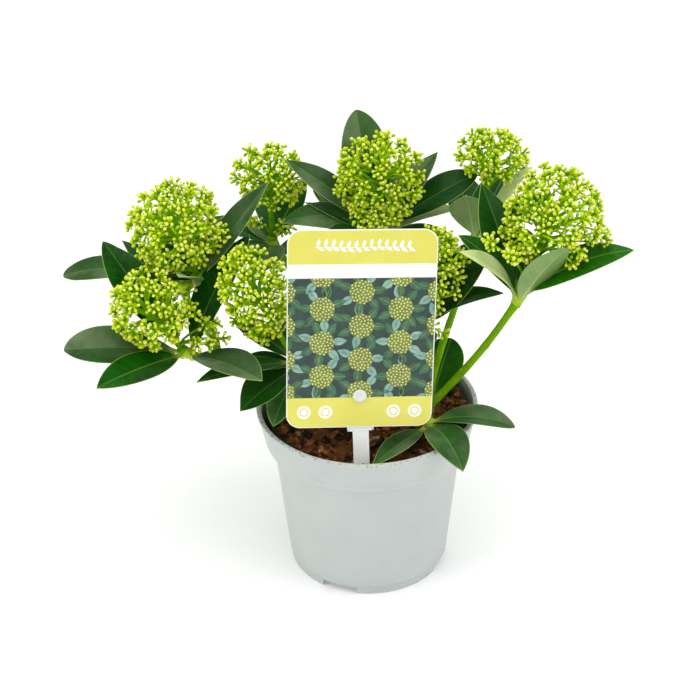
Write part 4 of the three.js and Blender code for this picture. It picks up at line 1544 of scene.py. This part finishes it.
@dataclass
class Pot:
    """The nursery pot: a tapered body on a notched foot ring, a wider collar and a thick lip."""

    height: float = 106.0
    rim: float = 65.0
    lip: float = 2.8
    lip_depth: float = 3.4
    wall: float = 1.5
    foot: float = 47.4
    foot_height: float = 5.6
    body_foot: float = 48.3
    body_top: float = 55.2
    collar_foot_radius: float = 60.6
    collar_foot: float = 84.8
    slope: float = 7.6
    shoulder: float = 0.8
    floor_top: float = 8.0
    notch_width: float = 21.5
    notch_below: float = 1.2
    notch_heading: float = 248.0
    notches: int = 4
    drain_radius: float = 4.0
    drain_out: float = 37.0
    sides: int = 192
    sharp: float = 32.0

    def profile(self) -> list[tuple[float, float]]:
        """The wall's section, with its small rounds.

        Returns:
            Radii and heights, up the outside and down the inside.
        """
        foot, top, collar = self.foot_height, self.height, self.collar_foot
        lip_foot, low, floor = self.height - self.lip_depth, self.collar_foot - self.slope, self.floor_top
        within, under = self.rim - self.lip, self.foot - self.wall
        return [
            (self.foot - 0.5, 0.0), (self.foot - 0.1, 0.15), (self.foot, 0.6), (self.foot + 0.3, foot - 0.3),
            (self.foot + 0.45, foot), (self.body_foot - 0.15, foot + 0.25), (self.body_foot, foot + 0.7),
            (self.body_top - 0.1, low - 0.6), (self.body_top + 0.1, low - 0.2),
            (self.body_top + 0.5, low + 0.3), (self.collar_foot_radius - 0.5, collar - 0.5),
            (self.collar_foot_radius - 0.1, collar + 0.1), (self.collar_foot_radius + 0.15, collar + 0.9),
            (self.rim - 1, lip_foot), (self.rim - 0.7, lip_foot + 0.4), (self.rim, lip_foot + 1.4),
            (self.rim, top - 0.8), (self.rim - 0.25, top - 0.2), (self.rim - 0.8, top), (within + 0.7, top),
            (within + 0.1, top - 0.3), (within, top - 0.9), (self.rim - 3.1, lip_foot - 1),
            (self.collar_foot_radius - self.wall, collar + self.shoulder),
            (self.body_top - self.wall, low + 0.6), (self.body_foot - self.wall + 0.1, floor + 1.5),
            (self.body_foot - self.wall - 1.2, floor),
            (0.0, floor), (0.0, floor - self.wall), (under - 0.8, floor - self.wall),
            (under, floor - self.wall - 0.8), (under, 0.4), (under + 0.35, 0.0),
        ]

    def body(self) -> bpy.types.Object:
        """The pot before its notches and holes are cut: the wall's section turned about the upright axis.

        Returns:
            The object.
        """
        points, rings, faces = [], [], []
        for radius, height in self.profile():
            corners = round_turns(self.sides) if radius else [0.0]
            rings.append([len(points) + j % len(corners) for j in range(self.sides)])
            points += [[radius * math.cos(t), radius * math.sin(t), height] for t in corners]
        for low, high in zip(rings, rings[1:] + rings[:1]):
            for j in range(self.sides):
                k = (j + 1) % self.sides
                corners = list(dict.fromkeys([low[j], low[k], high[k], high[j]]))
                if len(corners) > 2:
                    faces.append(corners)
        build = Build([Look.POT])
        build.add(np.array(points), faces, Look.POT)
        return build.object("nursery_pot")

    def cutters(self) -> list[bpy.types.Object]:
        """The solids that the pot is cut by: a block for each notch and a rod for each drain hole.

        Returns:
            The objects.
        """
        cutters = []
        for i in range(self.notches):
            heading = self.notch_heading + 90 * i
            out, side = pointing(heading, 0), pointing(heading + 90, 0)
            notch, drain = Build([Look.POT]), Build([Look.POT])
            radii, heights = (self.foot - 5, self.foot + 6), (-1.0, self.foot_height - self.notch_below)
            notch.box([out * r + side * s * self.notch_width / 2 + UP * z
                       for r in radii for s in (-1, 1) for z in heights])
            ring = np.array([[self.drain_radius * math.cos(t), self.drain_radius * math.sin(t), 0]
                             for t in round_turns(self.sides)[::8]]) + out * self.drain_out
            drain.rings(np.array([ring + UP * 4.5, ring + UP * 10]), Look.POT)
            cutters += [notch.object(f"notch_cut_{i}", smooth=False),
                        drain.object(f"drain_cut_{i}", smooth=False)]
        return cutters

    def make(self) -> None:
        """Turn the pot, then cut its notches and drain holes."""
        pot, cutters = self.body(), self.cutters()
        for cutter in cutters:
            cut = pot.modifiers.new(cutter.name, "BOOLEAN")
            cut.operation, cut.solver, cut.object = "DIFFERENCE", "EXACT", cutter
        applied(pot)
        for cutter in cutters:
            bpy.data.objects.remove(cutter)
        pot.data.set_sharp_from_angle(angle=math.radians(self.sharp))
        settle(pot, "pot", "pot")

    def bends(self) -> tuple[float, float]:
        """The heights at which the inside of the wall bends out towards the collar, and up again."""
        return self.collar_foot - self.slope + 0.6, self.collar_foot + self.shoulder

    def body_inside(self, share: float) -> float:
        """The inside radius of the body at a share of its height."""
        return lerp(self.body_foot, self.body_top, share) - self.wall

    def inside(self, height: float) -> float:
        """The inside radius of the wall, less a small gap.

        Args:
            height: The height above the ground.

        Returns:
            The radius.
        """
        low, high = self.bends()
        collar = self.collar_foot_radius - self.wall
        if height <= low:
            return self.body_inside((height - self.floor_top) / (low - self.floor_top)) - GAP
        if height <= high:
            return lerp(self.body_inside(1), collar, (height - low) / (high - low)) - GAP
        share = (height - high) / (self.height - self.lip_depth - 1 - high)
        return lerp(collar, self.rim - 1.6 - self.wall, share) - GAP


@dataclass(frozen=True)
class Chips:
    """One size of bark chip: half its length, half its width, its thickness and its shape's number.

    So many of them are strewn, to a margin from the wall, and an even spread has a power of a half.
    """

    long: float
    wide: float
    thick: float
    seed: int
    count: int
    margin: float
    power: float = 0.5

    def flake(self, sides: int = 9) -> bpy.types.Object:
        """One irregular flake of bark.

        Args:
            sides: Its sides.

        Returns:
            The shape.
        """
        points = []
        layers = ((-0.5, 0.8), (-0.15, 1.0), (0.2, 0.97), (0.5, 0.72))
        for z, share in layers:
            for j, turn in enumerate(round_turns(sides)):
                out = share * (1 + 0.22 * jitter(j, self.seed) + 0.05 * jitter(j, self.seed + z * 10))
                points.append([self.long * out * math.cos(turn), self.wide * out * math.sin(turn),
                               self.thick * (z + 0.18 * jitter(j, self.seed + 4))])
        faces = ring_faces(len(layers), sides) + ring_caps(len(layers), sides)
        return seed_shape("flake_shape", points, faces)


@dataclass
class Mix:
    """The potting mix: a low mound of crumbs, banked up at its sides, with bark chips strewn over it."""

    pot: Pot
    edge: float = 94.0
    middle: float = 96.0
    reach: float = 57.0
    inset: float = 0.15
    sides: int = 120
    rows: int = 44
    bank: float = 9.5
    dip: float = 2.5
    chips: tuple[Chips, ...] = (
        Chips(5.4, 3.9, 2.1, 3, 380, 10.0),
        Chips(2.9, 2.3, 1.6, 8, 760, 6.0),
        Chips(1.9, 1.4, 1.2, 14, 620, 3.2, 0.2),
    )
    looks: tuple[Look, ...] = (Look.CHIP_RED, Look.CHIP_BROWN, Look.CHIP_DARK, Look.CHIP_PALE)
    dealt: tuple[float, ...] = (0.38, 0.72, 0.95)

    def height(self, x: float, y: float) -> float:
        """How high the mound stands.

        Args:
            x: The place's distance to the right of the middle.
            y: Its distance behind the middle.

        Returns:
            The height.
        """
        out, turn = min(1.0, math.hypot(x, y) / self.reach), math.atan2(y, x)
        lumps = 1.1 * noise.noise(Vector((x, y, 3.0)) * 0.13) + 0.9 * noise.noise(Vector((x, y, 9.0)) * 0.38)
        fine = 0.45 * noise.noise(Vector((x, y, 5.0)) * 1.1)
        banks = self.bank * out**3 * math.cos(turn - 0.2) ** 2
        banks -= self.dip * out * max(0.0, -math.sin(turn)) ** 4
        return lerp(self.middle, self.edge, out * out) + lumps + fine + banks - 0.4

    def radius(self, height: float) -> float:
        """How far out the mix reaches at a height."""
        return self.pot.inside(height - 2 * GAP) - self.inset

    def mound(self) -> None:
        """Build the body of the mix, from the pot's floor up and in over its rough top."""
        turns, top = round_turns(self.sides), self.radius(self.edge)
        heights = [self.pot.floor_top + GAP, *(bend + 2 * GAP for bend in self.pot.bends()), self.edge]
        rings = [[[out * math.cos(t), out * math.sin(t), z] for t in turns]
                 for out, z in ((self.radius(z), z) for z in heights)]
        for radius in np.linspace(top - 0.6, 2.0, self.rows):
            spots = [(radius * math.cos(t), radius * math.sin(t)) for t in turns]
            rings.append([[x, y, self.height(x, y)] for x, y in spots])
        build = Build([Look.MIX])
        build.rings(np.array(rings), Look.MIX)
        settle(build.object("mix_mound"), "mix", "potting_mix")

    def strewn(self, chips: Chips, kind: int) -> list[Spot]:
        """Where the chips of one size lie.

        Args:
            chips: The chips.
            kind: Their number.

        Returns:
            The places.
        """
        spots = []
        for i in range(chips.count):
            out = (self.radius(self.edge) - chips.margin) * ((i + 0.5) / chips.count) ** chips.power
            turn = math.radians(GOLDEN * i + 30 * jitter(i, 21 + kind))
            x, y = out * math.cos(turn), out * math.sin(turn)
            size = 0.95 + 0.5 * jitter(i, 31 + kind)
            roll = 0.5 + 0.5 * jitter(i, 41 + kind)
            spots.append(Spot(
                np.array([x, y, self.height(x, y) + 0.25 + 0.35 * jitter(i, 2)]),
                unit(np.array([0.55 * jitter(i, 5), 0.55 * jitter(i, 6), 1.0])),
                (size, size * (0.9 + 0.25 * jitter(i, 7)), size * (0.9 + 0.3 * jitter(i, 8))),
                sum(roll >= limit for limit in self.dealt),
            ))
        return spots

    def make(self) -> None:
        """Build the mix and its chips."""
        self.mound()
        for kind, chips in enumerate(self.chips):
            scatter = Scatter(f"chip_scatter_{kind}", self.looks, seed=5 + kind)
            piece = scatter.make(f"bark_chips_{kind}", chips.flake(), self.strewn(chips, kind), smooth=False)
            settle(piece, "mix", "potting_mix")


@dataclass
class Label:
    """The plant label: a printed card that a knob holds to the head of a flat stake."""

    foot: tuple[float, float, float] = (-3.2, -48.0, 95.0)
    lean: float = 11.0
    turn: float = 6.0
    width: float = 81.5
    height: float = 114.5
    thick: float = 0.9
    bevel: float = 0.15
    corner: float = 8.0
    card_at: float = 23.5
    card_tilt: float = 3.0
    knob_up: float = 19.0
    knob_radius: float = 3.9
    stake_width: float = 9.0
    stake_thick: float = 2.0
    stake_deep: float = 22.0
    head_width: float = 15.0
    head_foot: float = 20.5
    rim: float = 0.55
    ink: float = 0.03
    bands: tuple[float, float, float] = (76.3, 68.3, -1.0)
    repeat: tuple[float, float] = (21.5, 19.5)
    flower: float = 6.9
    dots: int = 46
    petals: int = 7
    row_up: float = 9.4
    stalk_up: tuple[float, float] = (9.1, 9.5)
    discs: tuple[float, ...] = (-31.0, -19.0, 19.0, 31.0)
    disc_down: float = 8.6

    def place(self, local: np.ndarray) -> np.ndarray:
        """Places given on the stake's own axes, as places by the pot.

        Args:
            local: The places, x across, y to the back and z up.

        Returns:
            The places by the pot.
        """
        lean, turn = -math.radians(self.lean), math.radians(self.turn)
        tip = Matrix.Rotation(turn, 3, "Z") @ Matrix.Rotation(lean, 3, "X")
        return np.asarray(local, float).reshape(-1, 3) @ np.array(tip).T + np.array(self.foot)

    def on_card(self, flat: np.ndarray, front: float) -> np.ndarray:
        """Places on the card, across and up from its knob, at a distance in front of its back.

        Args:
            flat: The places, two numbers in each row.
            front: The distance in front of the card's back.

        Returns:
            The places by the pot.
        """
        tilt = math.radians(self.card_tilt)
        a, b = np.asarray(flat, float).reshape(-1, 2).T
        x = a * math.cos(tilt) + b * math.sin(tilt)
        z = -a * math.sin(tilt) + b * math.cos(tilt) + self.card_at + self.knob_up
        return self.place(np.stack([x, np.full_like(x, -front), z], 1))

    def outline(self, inset: float) -> np.ndarray:
        """The card's outline with its round corners.

        Args:
            inset: How far it is drawn in.

        Returns:
            Its points.
        """
        half, corner = self.width / 2 - inset, max(self.corner - inset, 1.0)
        low, high = inset - self.knob_up, self.height - self.knob_up - inset
        points = []
        for x, y, start in ((half - corner, low + corner, -90), (half - corner, high - corner, 0),
                            (corner - half, high - corner, 90), (corner - half, low + corner, 180)):
            for angle in np.radians(start + 7.5 * np.arange(13)):
                points.append([x + corner * math.cos(angle), y + corner * math.sin(angle)])
        return np.array(points)

    def clip(self, shape: np.ndarray, axis: int, limit: float, below: bool) -> np.ndarray:
        """The part of a flat shape that lies on one side of a line.

        Args:
            shape: The shape's outline.
            axis: 0 for a limit across, 1 for a limit up.
            limit: Where the line runs.
            below: Whether the lower side is kept.

        Returns:
            The outline of what is left.
        """
        sign = 1 if below else -1
        kept = []
        for a, b in zip(shape, np.roll(shape, -1, 0)):
            da, db = sign * (limit - a[axis]), sign * (limit - b[axis])
            if da >= 0:
                kept.append(a)
            if da * db < 0:
                kept.append(a + (b - a) * da / (da - db))
        return np.array(kept).reshape(-1, 2)

    def leaf_print(self, at: np.ndarray, heading: float, length: float, width: float) -> np.ndarray:
        """The outline of a printed leaf.

        Args:
            at: Where its stalk starts, across and up.
            heading: The way it points.
            length: Its length.
            width: Its width.

        Returns:
            Its points.
        """
        shares = np.linspace(0, 1, 9)
        half = np.sin(math.pi * shares**0.85) * width / 2
        flat = np.concatenate([np.stack([shares * length, half], 1),
                               np.stack([shares * length, -half], 1)[-2:0:-1]])
        turn = math.radians(heading)
        spin = np.array([[math.cos(turn), math.sin(turn)], [-math.sin(turn), math.cos(turn)]])
        return flat @ spin + at

    def disc(self, x: float, y: float, radius: float, sides: int) -> np.ndarray:
        """The outline of a printed disc."""
        turns = round_turns(sides)
        return np.stack([x + radius * np.cos(turns), y + radius * np.sin(turns)], 1)

    def layer(self, build: Build, shape: np.ndarray, look: Look, number: int = 1) -> None:
        """Print a shape's outline on the card, in one of the thin layers that are counted up from it."""
        build.polygon(self.on_card(shape, self.thick + self.ink * number), look)

    def pattern(self, build: Build) -> None:
        """The picture panel: a half-drop repeat of round dotted flower heads among rings of leaves.

        Args:
            build: The print.
        """
        _, top, low = self.bands
        half = self.width / 2 - self.rim

        def ink(shape: np.ndarray, number: int, look: Look) -> None:
            """Print a shape, kept inside the panel.

            Args:
                shape: The shape's outline.
                number: Its layer.
                look: Its ink.
            """
            for axis, limit, below in ((0, half, True), (0, -half, False), (1, top, True), (1, low, False)):
                if len(shape) > 2:
                    shape = self.clip(shape, axis, limit, below)
            if len(shape) > 2:
                self.layer(build, shape, look, number)

        for column, row in ((column, row) for column in range(-2, 3) for row in range(-1, 5)):
            x, y = column * self.repeat[0], row * self.repeat[1]
            y = y + (self.repeat[1] / 2 if column % 2 else 0) + 2
            tilt = 18 * jitter(column, row)
            for k in range(self.petals):
                heading = tilt + 360 / self.petals * k + 14
                way = pointing(heading, 0)[:2]
                out = 5.4 * way + [x, y]
                look = Look.PRINT_SHEEN if (k + row) % 3 == 1 else Look.PRINT_LEAF
                ink(self.leaf_print(out, heading, 8.6, 4.6), 2 + k % 2, look)
                ink(self.leaf_print(out + 0.4 * way, heading, 7.4, 0.5), 4, Look.PRINT_CLUSTER)
            ink(self.disc(x, y, self.flower, 28), 5, Look.PRINT_CLUSTER)
            for k in range(self.dots):
                turn, out = math.radians(GOLDEN * k + tilt), self.flower * math.sqrt((k + 0.5) / self.dots)
                look = Look.PRINT_BLUSH if (k + row) % 7 == 0 else Look.PRINT_DOT
                ink(self.disc(x + out * math.cos(turn), y + out * math.sin(turn), 0.5, 7), 6, look)

    def sheet(self, looks: list[Look]) -> None:
        """The blank card.

        Args:
            looks: The finishes of the card and its print.
        """
        build = Build(looks)
        layers = ((0.18, 0.0), (0.0, self.bevel), (0.0, self.thick - self.bevel), (0.18, self.thick))
        rings = [self.on_card(self.outline(inset), front) for inset, front in layers]
        build.rings(np.array(rings), Look.CARD)
        settle(build.object("label_sheet", smooth=False), "card", "label_card")

    def artwork(self, looks: list[Look]) -> None:
        """The print: the bands, the picture panel, a row of small leaves and four discs.

        Args:
            looks: The finishes of the card and its print.
        """
        prints = Build(looks)
        inner = self.outline(self.rim)
        top, high, low = self.bands
        self.layer(prints, self.clip(inner, 1, top, False), Look.BAND)
        self.layer(prints, self.clip(inner, 1, low, True), Look.BAND)
        self.layer(prints, self.clip(self.clip(inner, 1, high, True), 1, low, False), Look.PANEL)
        self.pattern(prints)
        row = top + self.row_up
        for k in range(-6, 7):
            for side in (-1, 1):
                at = np.array([k * 4.1, row + 0.5 * math.sin(k * 0.9)])
                leaf = self.leaf_print(at, 22 + side * 52, 4.6, 2.0)
                self.layer(prints, leaf, Look.CARD, 2)
        under, over = (top + up for up in self.stalk_up)
        self.layer(prints, np.array([[-26, under], [26, under], [26, over], [-26, over]]), Look.CARD, 3)
        rings = ((2, 3.9, 32, Look.CARD), (3, 2.5, 24, Look.BAND), (4, 1.9, 24, Look.CARD))
        for x in self.discs:
            for number, radius, sides, look in rings:
                self.layer(prints, self.disc(x, low - self.disc_down, radius, sides), look, number)
        settle(prints.object("label_print", smooth=False, recalculate=False), "card", "label_card")

    def bar(self, build: Build, x: tuple[float, float], y: tuple[float, float], z: tuple[float, float]
            ) -> None:
        """A straight bar on the stake's own axes."""
        build.box(self.place([[a, b, c] for a in sorted(x) for b in y for c in z]))

    def stake(self) -> None:
        """The stake, its ribbed edges and its head."""
        build = Build([Look.STAKE])
        half, wide = self.stake_width / 2, self.head_width / 2
        back, head = GAP + self.stake_thick, self.head_foot
        top = self.card_at + self.knob_up + self.knob_radius + 2
        self.bar(build, (-half, half), (GAP + 0.55, back - 0.1), (-self.stake_deep, head + 1))
        for side in (-1, 1):
            self.bar(build, (side * (half - 1.1), side * half), (GAP, back), (-self.stake_deep, head + 1.5))
        self.bar(build, (-wide, wide), (GAP + 0.3, back), (head + 1.2, top))
        self.bar(build, (-wide, wide), (GAP, back), (head, head + 1.6))
        for side in (-1, 1):
            self.bar(build, (side * (wide - 1.3), side * wide), (GAP, back), (head, top))
        piece = build.object("stake_body", smooth=False)
        bevel = piece.modifiers.new("Bevel", "BEVEL")
        bevel.width, bevel.segments, bevel.limit_method = 0.25 * MM, 2, "ANGLE"
        settle(applied(piece), "stake", "label_stake")

    def knob(self) -> None:
        """The round knob on the card's face."""
        rows = ((0.0, 1.4), (0.6, 1.4), (0.65, 3.0), (0.8, 3.7), (1.2, self.knob_radius), (1.7, 3.7),
                (2.1, 3.0), (2.15, 1.5), (1.9, 1.2), (1.85, 0.1))
        turns, level = round_turns(40), self.card_at + self.knob_up
        rings = [self.place(np.stack([radius * np.cos(turns), np.full(40, 0.5 - out - self.thick),
                                      level + radius * np.sin(turns)], 1)) for out, radius in rows]
        build = Build([Look.KNOB])
        build.rings(np.array(rings), Look.KNOB)
        settle(build.object("stake_knob"), "stake", "label_stake")

    def make(self) -> None:
        """Build the card, its print, the stake and the knob."""
        looks = [Look.CARD, Look.BAND, Look.PANEL, Look.PRINT_LEAF, Look.PRINT_SHEEN, Look.PRINT_CLUSTER,
                 Look.PRINT_DOT, Look.PRINT_BLUSH]
        self.sheet(looks)
        self.artwork(looks)
        self.stake()
        self.knob()


def walls_of(pieces: list[bpy.types.Object]) -> BVHTree:
    """A search tree over pieces, in millimetres from the pot's middle.

    Args:
        pieces: The pieces.

    Returns:
        The tree.
    """
    points, faces = [], []
    for piece in pieces:
        start = len(points)
        points += [Vector(v.co) / MM - Vector(POT_MIDDLE) for v in piece.data.vertices]
        faces += [[start + i for i in p.vertices] for p in piece.data.polygons]
    return BVHTree.FromPolygons(points, faces)


@dataclass
class Studio:
    """A pale floor, soft white light and the camera, which has its turns in radians."""

    camera: tuple[float, float, float] = (0.0, -784.1, 622.3)
    pitch: float = 0.550
    yaw: float = -0.012
    roll: float = -0.017
    lens: float = 82.3
    world: float = 0.66
    glow: float = 0.14
    floor: float = 6.0

    def light(self, name: str, place: tuple[float, float, float], size: float, power: float) -> None:
        """A square soft light that points at the plant.

        Args:
            name: Its name.
            place: Its place in metres from the pot.
            size: Its side in metres.
            power: Its power in watts.
        """
        lamp = bpy.data.lights.new(name, "AREA")
        lamp.shape, lamp.size, lamp.energy = "SQUARE", size, power
        holder = placed(name, lamp)
        holder.location = Vector(place) + Vector(POT_MIDDLE * MM)
        aim = Vector(POT_MIDDLE * MM) + Vector((0, 0.03, 0.15)) - holder.location
        holder.rotation_euler = aim.to_track_quat("-Z", "Y").to_euler()

    def ground(self) -> None:
        """The floor."""
        mesh, far = bpy.data.meshes.new("floor"), self.floor
        mesh.from_pydata([(-far, -far, 0), (far, -far, 0), (far, far, 0), (-far, far, 0)], [], [(0, 1, 2, 3)])
        paint = Paint("floor_white", 0.9)
        paint.shader.inputs["Emission Color"].default_value = (1, 1, 1, 1)
        paint.shader.inputs["Emission Strength"].default_value = self.glow
        paint.shader.inputs["Base Color"].default_value = (0.9, 0.9, 0.9, 1)
        mesh.materials.append(paint.material)
        placed("floor", mesh)

    def view(self) -> None:
        """The camera, at the photograph's angle."""
        cp, sp = math.cos(self.pitch), math.sin(self.pitch)
        cy, sy = math.cos(self.yaw), math.sin(self.yaw)
        ahead, right = Vector((sy * cp, cy * cp, -sp)), Vector((cy, -sy, 0))
        above = right.cross(ahead)
        across = right * math.cos(self.roll) + above * math.sin(self.roll)
        top = above * math.cos(self.roll) - right * math.sin(self.roll)
        lens = bpy.data.cameras.new("camera")
        lens.lens, lens.sensor_width = self.lens, 36.0
        camera = placed("camera", lens)
        turn = Matrix((across, top, -ahead)).transposed()
        place = Matrix.Translation((Vector(self.camera) + Vector(POT_MIDDLE)) * MM)
        camera.matrix_world = place @ turn.to_4x4()
        bpy.context.scene.camera = camera

    def make(self) -> None:
        """Build the floor, the lights, the world and the camera."""
        scene = bpy.context.scene
        scene.view_settings.view_transform = "Standard"
        scene.world = bpy.data.worlds.new("studio")
        scene.world.use_nodes = True
        sky = scene.world.node_tree.nodes["Background"]
        sky.inputs["Color"].default_value = (1, 1, 1, 1)
        sky.inputs["Strength"].default_value = self.world
        self.ground()
        self.light("top_light", (0.0, 0.1, 2.3), 3.0, 40.0)
        self.light("key_light", (1.9, -0.8, 1.2), 1.2, 10.0)
        self.light("fill_light", (-1.9, -0.7, 1.1), 1.2, 12.0)
        self.view()


def main() -> None:
    """Build the studio, the pot, the label and the plant."""
    logging.basicConfig(level=logging.INFO, format="%(name)s: %(message)s")
    Studio().make()
    pot = Pot()
    pot.make()
    Mix(pot).make()
    Label().make()
    stems = Stems()
    stems.grow()
    stems.make()
    foliage = Foliage().make()
    Flowers(walls_of([*foliage, bpy.data.objects["label_sheet"]])).make()


if __name__ == "__main__":
    main()
